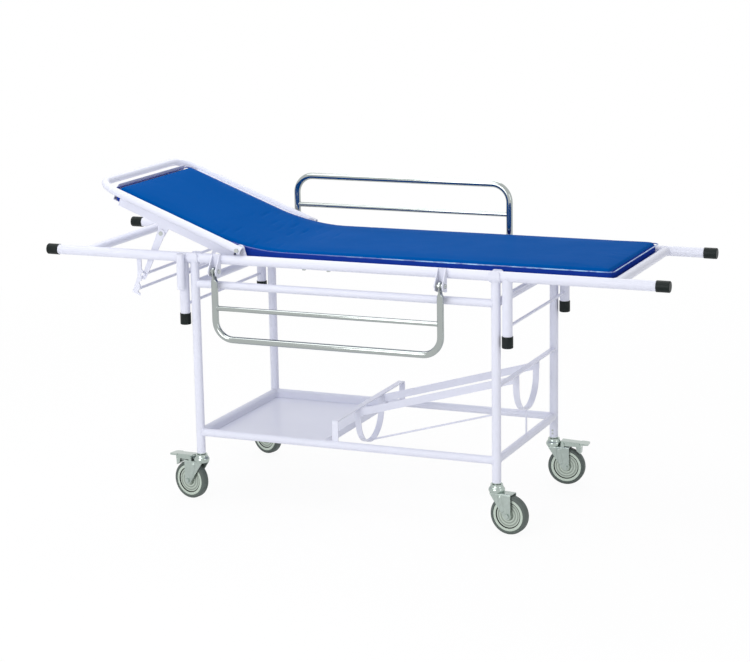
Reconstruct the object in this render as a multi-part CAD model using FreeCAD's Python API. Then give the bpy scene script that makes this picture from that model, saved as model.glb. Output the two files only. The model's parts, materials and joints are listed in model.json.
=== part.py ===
"""Ambulance cot: a stretcher with a tilting backrest, lying on a wheeled tubular trolley.

Millimetres. +X is the foot end, -Y the patient's right, +Z up. The origin is on the floor, in the
middle of the cot. The backrest is modelled flat and then tilted about its hinge.
"""
import FreeCAD
import Part
import math
import os

V = FreeCAD.Vector
X = V(1, 0, 0)
Y = V(0, 1, 0)
Z = V(0, 0, 1)
HEAD = -1
FOOT = 1
RIGHT = -1
LEFT = 1
DIAGONAL = math.sqrt(0.5)
ENDS = {"head": HEAD, "foot": FOOT}
SIDES = {"right": RIGHT, "left": LEFT}

# Side tubes of the stretcher, which everything else hangs from or carries
SIDE_TUBE_R = 15.875
SIDE_TUBE_WALL = 1.6
SIDE_TUBE_LENGTH = 2110.0
SIDE_TUBE_SPACING = 570.0
SIDE_TUBE_Z = 812.0
CAP_LENGTH = 42.0
CAP_WALL = 1.875
CAP_END = 5.0
CAP_ROUND = 3.0

# Tubes, panel and seat between the side tubes
END_TUBE_R = 14.3
END_TUBE_WALL = 1.6
END_TUBE_HEAD_X = -914.0
END_TUBE_FOOT_X = 893.0
BED_BAR_WIDTH = 30.0
BED_BAR_THICKNESS = 4.0
BED_BAR_XS = (-300.0, 280.0, 700.0)
SHEET = 1.5
PANEL_BELOW = 12.0
PANEL_HEAD_X = -334.0
SEAT_HEAD_X = -330.0
SEAT_THICKNESS = 50.0
MATTRESS_GAP = 2.5
MATTRESS_ROUND = 14.0
SOFT_GAP = 2.0

# Legs that the stretcher stands on when it is off the trolley
LEG_WALL = 1.6
LEG_HEAD_X = -555.0
LEG_FOOT_X = 552.0
LEG_BOTTOM_Z = 590.0
LEG_CAP_LENGTH = 37.0
THIN_ROD_R = 4.75
LEG_ROD_ZS = (755.0, 655.0)

# Socket for an infusion pole, outside the right side tube
SOCKET_R = 12.7
SOCKET_BORE_R = 10.7
SOCKET_X = -552.0
SOCKET_ABOVE = 15.0
SOCKET_LENGTH = 116.0
SOCKET_FLOOR = 3.0

# Trolley frame
POST_R = 14.3
POST_WALL = 1.6
POST_SPACING = 1030.0
POST_BOTTOM_Z = 160.0
RAIL_R = 12.7
RAIL_WALL = 1.5
UPPER_RAIL_Z = 727.0
LOWER_RAIL_Z = 230.0
SADDLE_LENGTH = 36.0
SADDLE_SHEET = 3.0
SADDLE_CLEARANCE = 0.3
SADDLE_CHEEK = 18.0
SADDLE_ROUND = 8.0
SADDLE_PASS = 2.0

# Luggage tray between the lower rails
TRAY_FOOT_X = -80.0
TRAY_BELOW_RAIL = 16.0
TRAY_DEPTH = 22.0
TRAY_ROUND = 12.0

# Cradle of flat bar for a gas cylinder
FLAT_WIDTH = 20.0
FLAT_THICKNESS = 4.0
HAT_X = -31.0
HAT_RISE = 80.0
HAT_BEND = 8.0
FOOT_BAR_Z = 465.0
HOOP_R = 100.0
HOOP_DROP = 135.0
HOOP_FLAT = 6.0
SIDE_BAR_HEIGHT = 25.0
CRADLE_ROD_R = 3.0

# Casters: stem in the post, pressed fork, wheel
STEM_LENGTH = 40.0
STEM_FLANGE = 3.0
KINGPIN_R = 5.5
KINGPIN_TIP = 2.0
PIN_CLEARANCE = 0.05
TRAIL = 45.0
WHEEL_R = 62.5
WHEEL_HALF_WIDTH = 15.0
RIM_R = 51.0
RIM_HALF_WIDTH = 12.5
RIM_WIDTH = 8.5
DISC_HALF_WIDTH = 10.5
DISC_FILLET = 3.0
GROOVE_WIDTH = 2.5
GROOVE_DEPTH = 5.0
HUB_R = 14.0
HUB_HALF_WIDTH = 18.0
TREAD_BEVEL = 3.0
TREAD_SHOULDER = 8.0
TREAD_FLAT = 6.0
WHEEL_GAP = 0.3
AXLE_R = 4.0
FORK_SHEET = 3.0
FORK_FRONT = 15.0
FORK_CROWN_GAP = 3.0
FORK_BEND = 5.0
FORK_BOSS_R = 12.0
FORK_RIB_R = 9.0
FORK_RIB_STANDS_OUT = 4.5
FORK_RIB_TOP_X = 21.0
FORK_RIB_FOOT_X = 28.0
FORK_RIB_FOOT_RISE = 16.0
RACE_R = 26.0
RACE_HEIGHT = 25.0
RACE_NECK_R = 19.5
RACE_TUCK = 2.0
RACE_BELT_HEIGHT = 7.0
RACE_SHOULDER_HEIGHT = 15.0
RACE_COLLAR_HEIGHT = 18.0
BOLT_HEAD_FLATS = 13.0
BOLT_HEAD_HEIGHT = 5.3
TRAIL_DIRECTION = {
    ("head", "right"): 168.0,
    ("foot", "right"): -8.0,
    ("foot", "left"): 4.0,
    ("head", "left"): 160.0,
}
BRAKED = (("head", "right"), ("foot", "left"))

# Brake pedal, hinged in two ears on the fork's crown
PEDAL_PIVOT_X = 34.0
PEDAL_PIVOT_RISE = 8.0
PEDAL_PIN_R = 3.0
PEDAL_HALF_WIDTH = 16.0
PEDAL_SHEET = 2.5
PEDAL_RISE = 19.5
PEDAL_SLOPE = 0.06
PEDAL_TIP_X = 121.0
PEDAL_PAD_X = 90.0
PEDAL_PAD_HALF_WIDTH = 22.0
PEDAL_PAD_THICKNESS = 5.0
PEDAL_PAD_ROUND = 9.0
PEDAL_JAW_X = 82.0
PEDAL_JAW_LENGTH = 12.0
PEDAL_JAW_BEVEL = 3.0
PEDAL_JAW_GAP = 5.0
EAR_GAP = 0.8
EAR_SHEET = 3.0
EAR_R = 6.0

# Backrest: U-shaped tube, bent sheet and mattress, in its own flat coordinates
BACKREST_ANGLE = 21.0
HINGE_X = -355.0
HINGE_ABOVE = 34.0
BACKREST_TUBE_R = 12.7
BACKREST_TUBE_WALL = 1.5
BACKREST_TUBE_Y = 287.5
BACKREST_BEND = 70.0
BACKREST_LENGTH = 540.0
BACKREST_TAIL = 12.0
BACKREST_FLOOR_DEPTH = 46.0
BACKREST_SHEET_START = 12.0
BACKREST_WING_START = 20.0
BACKREST_HEAD_GAP = 44.0
BACKREST_HEAD_FLAP = 37.0
BACKREST_HEAD_HALF_WIDTH = 235.0
BACKREST_HEAD_FLANGE = 8.0
BACKREST_HEAD_ROUND = 12.0
BACKREST_PAD_START = 4.0
BACKREST_PAD_ABOVE = 11.0
HINGE_PLATE = 4.0
HINGE_EYE_R = 15.0
HINGE_FOOT_LENGTH = 42.0
HINGE_FOOT_SHIFT = 5.0
HINGE_BOLT_R = 4.0
WASHER_GAP = 0.3

# Prop under the backrest, and the toothed plates that it drops into
LUG_S = 283.5
LUG_N = -72.0
LUG_R = 14.0
LUG_SHEET = 4.5
LUG_TOP_WIDTH = 40.0
PROP_LENGTH = 150.5
PROP_LEAN = 24.95
PROP_TURN = -1.4
PROP_GAP = 0.5
PROP_SHEET = 4.0
PROP_R = 14.0
PROP_TIP_R = 7.0
PROP_TAIL = 22.0
PROP_BOLT_R = 4.0
PROP_BOLT_HEAD_R = 7.0
PROP_BOLT_HEAD = 2.2
PROP_NUT = 4.7
RATCHET_SHEET = 5.0
RATCHET_Y = 270.0
RATCHET_STRIP_HEAD_X = -733.0
RATCHET_STRIP_FOOT_X = -718.0
RATCHET_RUN = 0.9
RATCHET_ANGLES = (21.0, 15.0, 9.0)
RATCHET_NOTCH = (-7.0, -3.0)
RATCHET_TOP_ANGLE = 23.0
RATCHET_END_ANGLE = 6.5
RATCHET_WAIST_Z = 735.0
RATCHET_TOE_X = -755.3
RATCHET_TOE_Z = 682.5
RATCHET_ROD_X = -747.5
RATCHET_ROD_Z = 688.0

# Side rails: U-shaped tubes with flattened ends, swinging on cross bolts in sheet clevises
GUARD_X = -39.5
GUARD_HALF_SPAN = 387.0
GUARD_PIVOT_OUT = 37.0
GUARD_PIVOT_BELOW = 34.0
GUARD_HEIGHT = 220.0
GUARD_R = 11.0
GUARD_WALL = 1.2
GUARD_BEND = 60.0
GUARD_BAR_R = 8.0
GUARD_BAR_HEIGHT = 119.5
GUARD_EYE_R = 14.0
GUARD_EYE_THICKNESS = 5.0
GUARD_FLAT = 18.0
GUARD_ROUND_FROM = 32.0
GUARD_RAISED = {"right": -1, "left": 1}
GUARD_BOLT_R = 4.0
SLEEVE_R = 7.0
SLEEVE_GAP = 0.2
CLEVIS_SHEET = 3.0
CLEVIS_GAP = 0.5
CLEVIS_R = 18.0
CLEVIS_ABOVE = 19.0
CLEVIS_BELOW = 55.0

SIDE_Y = SIDE_TUBE_SPACING / 2
AXLE_Z = WHEEL_R
FORK_INNER = HUB_HALF_WIDTH + WHEEL_GAP
FORK_OUTER = FORK_INNER + FORK_SHEET
FORK_REAR = TRAIL + FORK_BOSS_R
CROWN_Z = AXLE_Z + WHEEL_R + FORK_CROWN_GAP
FORK_TOP_Z = CROWN_Z + FORK_SHEET
SADDLE_INNER_R = SIDE_TUBE_R + SADDLE_CLEARANCE
SADDLE_OUTER_R = SADDLE_INNER_R + SADDLE_SHEET
PANEL_TOP_Z = SIDE_TUBE_Z - PANEL_BELOW
SOCKET_TOP_Z = SIDE_TUBE_Z + SOCKET_ABOVE
HINGE_Z = SIDE_TUBE_Z + HINGE_ABOVE
HINGE = V(HINGE_X, 0, HINGE_Z)
HINGE_PLATE_Y = BACKREST_TUBE_Y - BACKREST_TUBE_R - WASHER_GAP - HINGE_PLATE
BACKREST_SHEET_END = BACKREST_LENGTH - BACKREST_HEAD_GAP
BACKREST_WING_END = BACKREST_SHEET_END - BACKREST_HEAD_FLAP
GUARD_Y = SIDE_Y + GUARD_PIVOT_OUT
GUARD_Z = SIDE_TUBE_Z - GUARD_PIVOT_BELOW
HAT_Z = LOWER_RAIL_Z + HAT_RISE


# Basic shapes

def rod(start, end, radius):
    """Solid round bar between two points."""
    along = end - start
    return Part.makeCylinder(radius, along.Length, start, along)


def tube(start, end, radius, wall):
    """Round tube between two points."""
    return rod(start, end, radius).cut(rod(start, end, radius - wall))


def block(low, high):
    """Box between two opposite corners, each (x, y, z)."""
    size = [high_side - low_side for low_side, high_side in zip(low, high)]
    return Part.makeBox(size[0], size[1], size[2], V(*low))


def rounded_block(low, high, radius, axis):
    """Box whose edges along one axis are rounded."""
    box = block(low, high)
    edges = [edge for edge in box.Edges if edge.tangentAt(0).cross(axis).Length < 0.001]
    return box.makeFillet(radius, edges)


def in_xz(y):
    """Sketch plane across the cot at y, seen from the side."""
    return lambda u, v: V(u, y, v)


def in_yz(x):
    """Sketch plane at x, seen along the cot."""
    return lambda u, v: V(x, u, v)


def sketch(plane, start, *steps):
    """Closed face. A step is the end of a line, or (point on an arc, end of the arc)."""
    edges = []
    here = plane(*start)
    for step in steps + (start,):
        if isinstance(step[0], tuple):
            end = plane(*step[1])
            edges.append(Part.Arc(here, plane(*step[0]), end).toShape())
        else:
            end = plane(*step)
            if (end - here).Length > 0.001:
                edges.append(Part.LineSegment(here, end).toShape())
        here = end
    return Part.Face(Part.Wire(edges))


def prism_between(face, axis, low, high):
    """Solid from a face sketched at zero, reaching from low to high along the axis."""
    solid = face.extrude(axis * (high - low))
    solid.translate(axis * low)
    return solid


def hexagon(centre, axis, across_flats, height):
    """Hexagonal bolt head or nut that stands on its centre point along the axis."""
    corner = across_flats / math.sqrt(3)
    points = [V(corner * math.cos(k * math.pi / 3), corner * math.sin(k * math.pi / 3), 0) for k in range(7)]
    solid = Part.Face(Part.makePolygon(points)).extrude(Z * height)
    solid.Placement = FreeCAD.Placement(centre, FreeCAD.Rotation(Z, axis))
    return solid


def bent_path(corners, bend):
    """Wire of straight runs through the corners, joined by tangent arcs."""
    edges = []
    here = corners[0]
    for before, corner, after in zip(corners, corners[1:], corners[2:]):
        back = V(before - corner).normalize()
        ahead = V(after - corner).normalize()
        half_angle = back.getAngle(ahead) / 2
        reach = bend / math.tan(half_angle)
        middle = corner + V(back + ahead).normalize() * (bend / math.sin(half_angle) - bend)
        edges.append(Part.LineSegment(here, corner + back * reach).toShape())
        edges.append(Part.Arc(corner + back * reach, middle, corner + ahead * reach).toShape())
        here = corner + ahead * reach
    edges.append(Part.LineSegment(here, corners[-1]).toShape())
    return Part.Wire(edges)


def round_bar(corners, bend, radius):
    """Solid round bar through the corners with tangent bends."""
    section = Part.Wire([Part.Circle(corners[0], corners[1] - corners[0], radius).toShape()])
    return bent_path(corners, bend).makePipeShell([section], True, False)


def flat_bar(corners, bend):
    """Flat bar, broad along the cot, bent in the plane across it."""
    broad = X * FLAT_WIDTH
    thin = V((corners[1] - corners[0]).cross(X)).normalize() * FLAT_THICKNESS
    corner = corners[0] - broad * 0.5 - thin * 0.5
    section = Part.makePolygon([corner, corner + broad, corner + broad + thin, corner + thin, corner])
    return bent_path(corners, bend).makePipeShell([section], True, False)


def bent_tube(corners, bend, radius, wall):
    """Tube through the corners with tangent bends."""
    return round_bar(corners, bend, radius).cut(round_bar(corners, bend, radius - wall))


def save(node, *solids):
    """Write one node: a single solid, or a group of separate solids."""
    shape = solids[0] if len(solids) == 1 else Part.makeCompound(list(solids))
    shape.exportStep("parts/" + node + ".step")


# Places that several pieces share

def corner_point(end, side):
    """Floor point under one post."""
    return V(ENDS[end] * POST_SPACING / 2, SIDES[side] * SIDE_Y, 0)


def side_bar(side, radius):
    """Solid bar along one side tube, which also copes what is welded to it."""
    middle = V(0, SIDES[side] * SIDE_Y, SIDE_TUBE_Z)
    reach = X * (SIDE_TUBE_LENGTH / 2)
    return rod(middle - reach, middle + reach, radius)


def side_bars():
    return [side_bar(side, SIDE_TUBE_R) for side in SIDES]


def post_bar(end, side):
    """Solid bar along one post."""
    base = corner_point(end, side)
    return rod(base + Z * POST_BOTTOM_Z, base + Z * SIDE_TUBE_Z, POST_R)


def post_bars():
    return [post_bar(end, side) for end in ENDS for side in SIDES]


def rail_bar(side, height):
    """Solid bar along one side rail of the trolley."""
    return rod(corner_point("head", side) + Z * height, corner_point("foot", side) + Z * height, RAIL_R)


def cross_points(x, z, reach):
    """Two ends of a piece that runs straight across the cot."""
    return V(x, -reach, z), V(x, reach, z)


def end_cross_tube(x):
    """Cross tube at one end of the stretcher, coped to the side tubes."""
    start, end = cross_points(x, SIDE_TUBE_Z, SIDE_Y)
    return tube(start, end, END_TUBE_R, END_TUBE_WALL).cut(side_bars())


# Trolley

def post(end, side):
    """Upright tube, coped under its saddle."""
    base = corner_point(end, side)
    upright = tube(base + Z * POST_BOTTOM_Z, base + Z * SIDE_TUBE_Z, POST_R, POST_WALL)
    return upright.cut(side_bar(side, SADDLE_OUTER_R))


def side_rail(side, height):
    """Rail from post to post along one side of the trolley."""
    start = corner_point("head", side) + Z * height
    end = corner_point("foot", side) + Z * height
    return tube(start, end, RAIL_R, RAIL_WALL).cut(post_bars())


def trolley_end_tube(end, height):
    """Cross tube from post to post, mitred to the side rails."""
    start = corner_point(end, "right") + Z * height
    finish = corner_point(end, "left") + Z * height
    neighbours = post_bars() + [rail_bar(side, height) for side in SIDES]
    return tube(start, finish, RAIL_R, RAIL_WALL).cut(neighbours)


def saddle(end, side):
    """Bent sheet cradle on a post, open above, in which a side tube lies."""
    base = corner_point(end, side)
    y = base.y
    top = SIDE_TUBE_Z + SADDLE_CHEEK
    face = sketch(
        in_yz(0),
        (y - SADDLE_OUTER_R, top),
        (y - SADDLE_OUTER_R, SIDE_TUBE_Z),
        ((y, SIDE_TUBE_Z - SADDLE_OUTER_R), (y + SADDLE_OUTER_R, SIDE_TUBE_Z)),
        (y + SADDLE_OUTER_R, top),
        (y + SADDLE_INNER_R, top),
        (y + SADDLE_INNER_R, SIDE_TUBE_Z),
        ((y, SIDE_TUBE_Z - SADDLE_INNER_R), (y - SADDLE_INNER_R, SIDE_TUBE_Z)),
        (y - SADDLE_INNER_R, top),
    )
    cradle = prism_between(face, X, base.x - SADDLE_LENGTH / 2, base.x + SADDLE_LENGTH / 2)
    ends = (base.x - SADDLE_LENGTH / 2, base.x + SADDLE_LENGTH / 2)
    corners = []
    for edge in cradle.Edges:
        middle = edge.CenterOfMass
        if abs(middle.z - top) < 0.01 and min(abs(middle.x - x) for x in ends) < 0.01:
            corners.append(edge)
    return cradle.makeFillet(SADDLE_ROUND, corners)


def tray():
    """Shallow sheet tray, welded between the lower rails and the head end tube."""
    head_x = RAIL_R - POST_SPACING / 2
    half_width = SIDE_Y - RAIL_R
    floor = LOWER_RAIL_Z - TRAY_BELOW_RAIL
    outside = rounded_block(
        (head_x, -half_width, floor), (TRAY_FOOT_X, half_width, floor + TRAY_DEPTH), TRAY_ROUND, Z)
    inside = rounded_block(
        (head_x + SHEET, SHEET - half_width, floor + SHEET),
        (TRAY_FOOT_X - SHEET, half_width - SHEET, floor + TRAY_DEPTH + SHEET), TRAY_ROUND - SHEET, Z)
    return outside.cut(inside)


def hat_bar():
    """Flat bar that stands on both lower rails and carries the cradle's first hoop."""
    middle_z = HAT_Z - FLAT_THICKNESS / 2
    right_foot, left_foot = cross_points(HAT_X, LOWER_RAIL_Z, SIDE_Y)
    right_top, left_top = cross_points(HAT_X, middle_z, SIDE_Y)
    bar = flat_bar([right_foot, right_top, left_top, left_foot], HAT_BEND)
    return bar.cut([rail_bar(side, LOWER_RAIL_Z) for side in SIDES])


def foot_bar():
    """Flat bar between the foot posts that carries the cradle's second hoop."""
    x = POST_SPACING / 2
    low = (x - FLAT_WIDTH / 2, -SIDE_Y, FOOT_BAR_Z - FLAT_THICKNESS)
    high = (x + FLAT_WIDTH / 2, SIDE_Y, FOOT_BAR_Z)
    return block(low, high).cut(post_bars())


def hoop(x, top):
    """Flat bar bent to a U, hanging from the underside of its bar."""
    middle_r = HOOP_R - FLAT_THICKNESS / 2
    bottom = top - HOOP_DROP + FLAT_THICKNESS / 2
    right_top, left_top = cross_points(x, top, middle_r)
    right_low, left_low = cross_points(x, bottom, middle_r)
    return flat_bar([right_top, right_low, left_low, left_top], middle_r - HOOP_FLAT)


def hoop_places():
    """Place along the cot and top of each hoop."""
    return (HAT_X, HAT_Z - FLAT_THICKNESS), (POST_SPACING / 2, FOOT_BAR_Z - FLAT_THICKNESS)


def cradle_side_bar(side):
    """Sloping flat bar on edge, outside the hoops."""
    (head_x, head_top), (foot_x, foot_top) = hoop_places()
    slope = (foot_top - head_top) / (foot_x - head_x)
    start = head_x - FLAT_WIDTH / 2
    end = foot_x + FLAT_WIDTH / 2
    start_top = head_top - slope * FLAT_WIDTH
    face = sketch(
        in_xz(0), (start, start_top), (end, foot_top), (end, foot_top - SIDE_BAR_HEIGHT),
        (start, start_top - SIDE_BAR_HEIGHT))
    low = HOOP_R if side == "left" else -HOOP_R - FLAT_THICKNESS
    return prism_between(face, Y, low, low + FLAT_THICKNESS)


def cradle_rods():
    """Rod along the bottom of the cradle, and the stay under its foot hoop."""
    (head_x, head_top), (foot_x, foot_top) = hoop_places()
    middle = HOOP_DROP - FLAT_THICKNESS / 2
    start = V(head_x, 0, head_top - middle)
    end = V(foot_x, 0, foot_top - middle)
    half = FLAT_WIDTH / 2
    hoops = [block((x - half, -half, top - 2 * HOOP_DROP), (x + half, half, top)) for x, top in hoop_places()]
    spine = rod(start, end, CRADLE_ROD_R).cut(hoops)
    stay_top = V(foot_x, 0, foot_top - HOOP_DROP)
    end_tube = rod(*cross_points(foot_x, LOWER_RAIL_Z, SIDE_Y), RAIL_R)
    stay = rod(V(foot_x, 0, LOWER_RAIL_Z), stay_top, CRADLE_ROD_R).cut(end_tube)
    return spine, stay


# Casters, modelled about their swivel axis with the wheel trailing along +X

def at_corner(shape, end, side):
    """Turn a caster piece to its trail direction and set it under its post."""
    shape.rotate(V(0, 0, 0), Z, TRAIL_DIRECTION[end, side])
    shape.translate(corner_point(end, side))
    return shape


def caster_stem(end, side):
    """Plug in the post, flange and kingpin in one piece."""
    base = corner_point(end, side)
    flange_z = POST_BOTTOM_Z - STEM_FLANGE
    plug = rod(base + Z * flange_z, base + Z * (POST_BOTTOM_Z + STEM_LENGTH), POST_R - POST_WALL)
    flange = rod(base + Z * flange_z, base + Z * POST_BOTTOM_Z, POST_R)
    kingpin = rod(base + Z * (FORK_TOP_Z - KINGPIN_TIP), base + Z * flange_z, KINGPIN_R)
    return plug.fuse([flange, kingpin]).removeSplitter()


def touching_point(centre, radius, point):
    """Where a line from a point in a sketch touches a circle, on its near lower side."""
    across = point[0] - centre[0]
    up = point[1] - centre[1]
    turn = math.atan2(up, across) + math.acos(radius / math.hypot(across, up))
    return centre[0] + radius * math.cos(turn), centre[1] + radius * math.sin(turn)


def fork_side_view():
    """Outline of the fork's plates: broad crown, slanting front edge, round boss at the axle."""
    axle = (TRAIL, AXLE_Z)
    brow = (-FORK_FRONT, CROWN_Z)
    face = sketch(
        in_xz(0),
        (-FORK_FRONT, FORK_TOP_Z),
        brow,
        touching_point(axle, FORK_BOSS_R, brow),
        ((TRAIL, AXLE_Z - FORK_BOSS_R), (FORK_REAR, AXLE_Z)),
        (FORK_REAR, FORK_TOP_Z),
    )
    return prism_between(face, Y, -FORK_OUTER - FORK_RIB_R, FORK_OUTER + FORK_RIB_R)


def fork_rib(way):
    """Round-ended swelling pressed into one plate of the fork."""
    across = Y * way * (FORK_OUTER + FORK_RIB_STANDS_OUT - FORK_RIB_R)
    top = V(FORK_RIB_TOP_X, 0, CROWN_Z - FORK_RIB_R) + across
    foot = V(FORK_RIB_FOOT_X, 0, AXLE_Z + FORK_RIB_FOOT_RISE) + across
    ends = [Part.makeSphere(FORK_RIB_R, point) for point in (top, foot)]
    return rod(foot, top, FORK_RIB_R).fuse(ends).removeSplitter()


def bearing_race():
    """Domed housing of the swivel bearing on the fork's crown."""
    top = FORK_TOP_Z + RACE_HEIGHT
    belt = (RACE_R, FORK_TOP_Z + RACE_BELT_HEIGHT)
    shoulder = (RACE_R - 2 * RACE_TUCK, FORK_TOP_Z + RACE_SHOULDER_HEIGHT)
    collar = (RACE_NECK_R + RACE_TUCK / 2, FORK_TOP_Z + RACE_COLLAR_HEIGHT)
    face = sketch(
        in_xz(0),
        (0, FORK_TOP_Z),
        (RACE_R - RACE_TUCK, FORK_TOP_Z),
        (belt, shoulder),
        (collar, (RACE_NECK_R, top)),
        (0, top),
    )
    return face.revolve(V(0, 0, 0), Z, 360)


def pedal_ear(side):
    """Ear on the crown that holds one end of the pedal's pin."""
    low = SIDES[side] * (PEDAL_HALF_WIDTH + EAR_GAP)
    high = low + SIDES[side] * EAR_SHEET
    pivot_z = FORK_TOP_Z + PEDAL_PIVOT_RISE
    face = sketch(
        in_xz(0),
        (PEDAL_PIVOT_X - EAR_R, FORK_TOP_Z - FORK_SHEET / 2),
        (PEDAL_PIVOT_X - EAR_R, pivot_z),
        ((PEDAL_PIVOT_X, pivot_z + EAR_R), (PEDAL_PIVOT_X + EAR_R, pivot_z)),
        (PEDAL_PIVOT_X + EAR_R, FORK_TOP_Z - FORK_SHEET / 2),
    )
    return prism_between(face, Y, min(low, high), max(low, high))


def pedal_pin(radius):
    """Round pin through pedal and ears."""
    reach = PEDAL_HALF_WIDTH + EAR_GAP + EAR_SHEET + EAR_GAP
    centre = V(PEDAL_PIVOT_X, 0, FORK_TOP_Z + PEDAL_PIVOT_RISE)
    return rod(centre - Y * reach, centre + Y * reach, radius)


def caster_fork(braked):
    """Pressed steel fork: channel with ribbed sides, bearing race and, if braked, two ears."""
    front = -FORK_FRONT - FORK_BEND
    rear = TRAIL + WHEEL_R
    channel = rounded_block((front, -FORK_OUTER, -FORK_OUTER), (rear, FORK_OUTER, FORK_TOP_Z), FORK_BEND, X)
    space = block((front - FORK_BEND, -FORK_INNER, -WHEEL_R), (rear + FORK_BEND, FORK_INNER, CROWN_Z))
    plates = channel.common(fork_side_view()).cut(space)
    ribs = [fork_rib(way).cut(space) for way in (-1, 1)]
    fork = plates.fuse(ribs)
    crown = rod(Z * CROWN_Z, Z * FORK_TOP_Z, RACE_R - 2 * RACE_TUCK)
    fork = fork.fuse([crown, bearing_race()] + [pedal_ear(side) for side in SIDES if braked])
    bore = rod(V(0, 0, 0), Z * POST_BOTTOM_Z, KINGPIN_R + PIN_CLEARANCE)
    axle = V(TRAIL, 0, AXLE_Z)
    axle_hole = rod(axle - Y * WHEEL_R, axle + Y * WHEEL_R, AXLE_R)
    holes = [bore, axle_hole] + ([pedal_pin(PEDAL_PIN_R + PIN_CLEARANCE)] if braked else [])
    return fork.cut(holes).removeSplitter()


def axle_bolt():
    """Bolt through the fork's plates and the wheel, with head and nut."""
    axle = V(TRAIL, 0, AXLE_Z)
    reach = FORK_OUTER + BOLT_HEAD_HEIGHT
    shank = rod(axle - Y * reach, axle + Y * reach, AXLE_R)
    head = hexagon(axle - Y * FORK_OUTER, -Y, BOLT_HEAD_FLATS, BOLT_HEAD_HEIGHT)
    nut = hexagon(axle + Y * FORK_OUTER, Y, BOLT_HEAD_FLATS, BOLT_HEAD_HEIGHT)
    return shank.fuse([head, nut]).removeSplitter()


def wheel_piece(*profile):
    """Ring about the axle from a half section given as (radius, place across the wheel)."""
    first = profile[0]
    face = sketch(lambda r, w: V(TRAIL, w, AXLE_Z + r), first, *profile[1:])
    return face.revolve(V(TRAIL, 0, AXLE_Z), Y, 360)


def wheel_core():
    """Hub, disc, ring groove and rim."""
    bore = AXLE_R + PIN_CLEARANCE
    groove_outer = RIM_R - RIM_WIDTH
    groove_inner = groove_outer - GROOVE_WIDTH
    floor = RIM_HALF_WIDTH - GROOVE_DEPTH
    right = (
        (bore, -HUB_HALF_WIDTH),
        (HUB_R, -HUB_HALF_WIDTH),
        (HUB_R + DISC_FILLET, -DISC_HALF_WIDTH),
        (groove_inner, -DISC_HALF_WIDTH),
        (groove_inner, -floor),
        (groove_outer, -floor),
        (groove_outer, -RIM_HALF_WIDTH),
        (RIM_R, -RIM_HALF_WIDTH),
    )
    left = tuple((r, -w) for r, w in reversed(right))
    return wheel_piece(*right, *left)


def tyre():
    """Solid rubber tread with round shoulders."""
    shoulder_r = WHEEL_R - TREAD_SHOULDER
    bevel_r = RIM_R + TREAD_BEVEL
    shoulder = (
        shoulder_r + TREAD_SHOULDER * DIAGONAL,
        TREAD_FLAT + (WHEEL_HALF_WIDTH - TREAD_FLAT) * DIAGONAL,
    )
    return wheel_piece(
        (RIM_R, -RIM_HALF_WIDTH),
        (bevel_r, -WHEEL_HALF_WIDTH),
        (shoulder_r, -WHEEL_HALF_WIDTH),
        ((shoulder[0], -shoulder[1]), (WHEEL_R, -TREAD_FLAT)),
        (WHEEL_R, TREAD_FLAT),
        (shoulder, (shoulder_r, WHEEL_HALF_WIDTH)),
        (bevel_r, WHEEL_HALF_WIDTH),
        (RIM_R, RIM_HALF_WIDTH),
    )


def pedal_top(x):
    """Height of the pedal's sloping top."""
    return FORK_TOP_Z + PEDAL_RISE - PEDAL_SLOPE * (x - PEDAL_PIVOT_X)


def over_tread(x):
    """Height that keeps the jaw's gap from the tread."""
    return AXLE_Z + math.sqrt((WHEEL_R + PEDAL_JAW_GAP) ** 2 - (x - TRAIL) ** 2)


def pedal_pad():
    """Broad sloping end of the pedal with round corners."""
    face = sketch(
        in_xz(0),
        (PEDAL_PAD_X, pedal_top(PEDAL_PAD_X)),
        (PEDAL_TIP_X, pedal_top(PEDAL_TIP_X)),
        (PEDAL_TIP_X, pedal_top(PEDAL_TIP_X) - PEDAL_PAD_THICKNESS),
        (PEDAL_PAD_X, pedal_top(PEDAL_PAD_X) - PEDAL_PAD_THICKNESS),
    )
    plate = prism_between(face, Y, -PEDAL_PAD_HALF_WIDTH, PEDAL_PAD_HALF_WIDTH)
    outline = rounded_block(
        (PEDAL_PAD_X, -PEDAL_PAD_HALF_WIDTH, AXLE_Z), (PEDAL_TIP_X, PEDAL_PAD_HALF_WIDTH, POST_BOTTOM_Z),
        PEDAL_PAD_ROUND, Z)
    return plate.common(outline)


def brake_pedal():
    """Stamped pedal: channel on a pin, jaw that follows the tread, broad sloping pad."""
    pivot_z = FORK_TOP_Z + PEDAL_PIVOT_RISE
    front = PEDAL_PIVOT_X - EAR_R
    slant = EAR_R * DIAGONAL
    jaw_end = PEDAL_JAW_X + PEDAL_JAW_LENGTH
    heel = jaw_end + PEDAL_JAW_BEVEL
    face = sketch(
        in_xz(0),
        (front, pedal_top(front)),
        (front, pivot_z),
        ((PEDAL_PIVOT_X - slant, pivot_z - slant), (PEDAL_PIVOT_X, pivot_z - EAR_R)),
        (PEDAL_JAW_X - PEDAL_JAW_BEVEL, pivot_z - EAR_R),
        (PEDAL_JAW_X, over_tread(PEDAL_JAW_X)),
        (jaw_end, over_tread(jaw_end)),
        (heel, pedal_top(heel) - PEDAL_SHEET),
        (heel, pedal_top(heel)),
    )
    body = prism_between(face, Y, -PEDAL_HALF_WIDTH, PEDAL_HALF_WIDTH)
    inner = PEDAL_HALF_WIDTH - PEDAL_SHEET
    below = sketch(
        in_xz(0),
        (front - EAR_R, AXLE_Z),
        (front - EAR_R, pedal_top(front - EAR_R) - PEDAL_SHEET),
        (PEDAL_JAW_X, pedal_top(PEDAL_JAW_X) - PEDAL_SHEET),
        (PEDAL_JAW_X, AXLE_Z),
    )
    body = body.cut(prism_between(below, Y, -inner, inner))
    return body.fuse([pedal_pad(), pedal_pin(PEDAL_PIN_R)]).removeSplitter()


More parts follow.
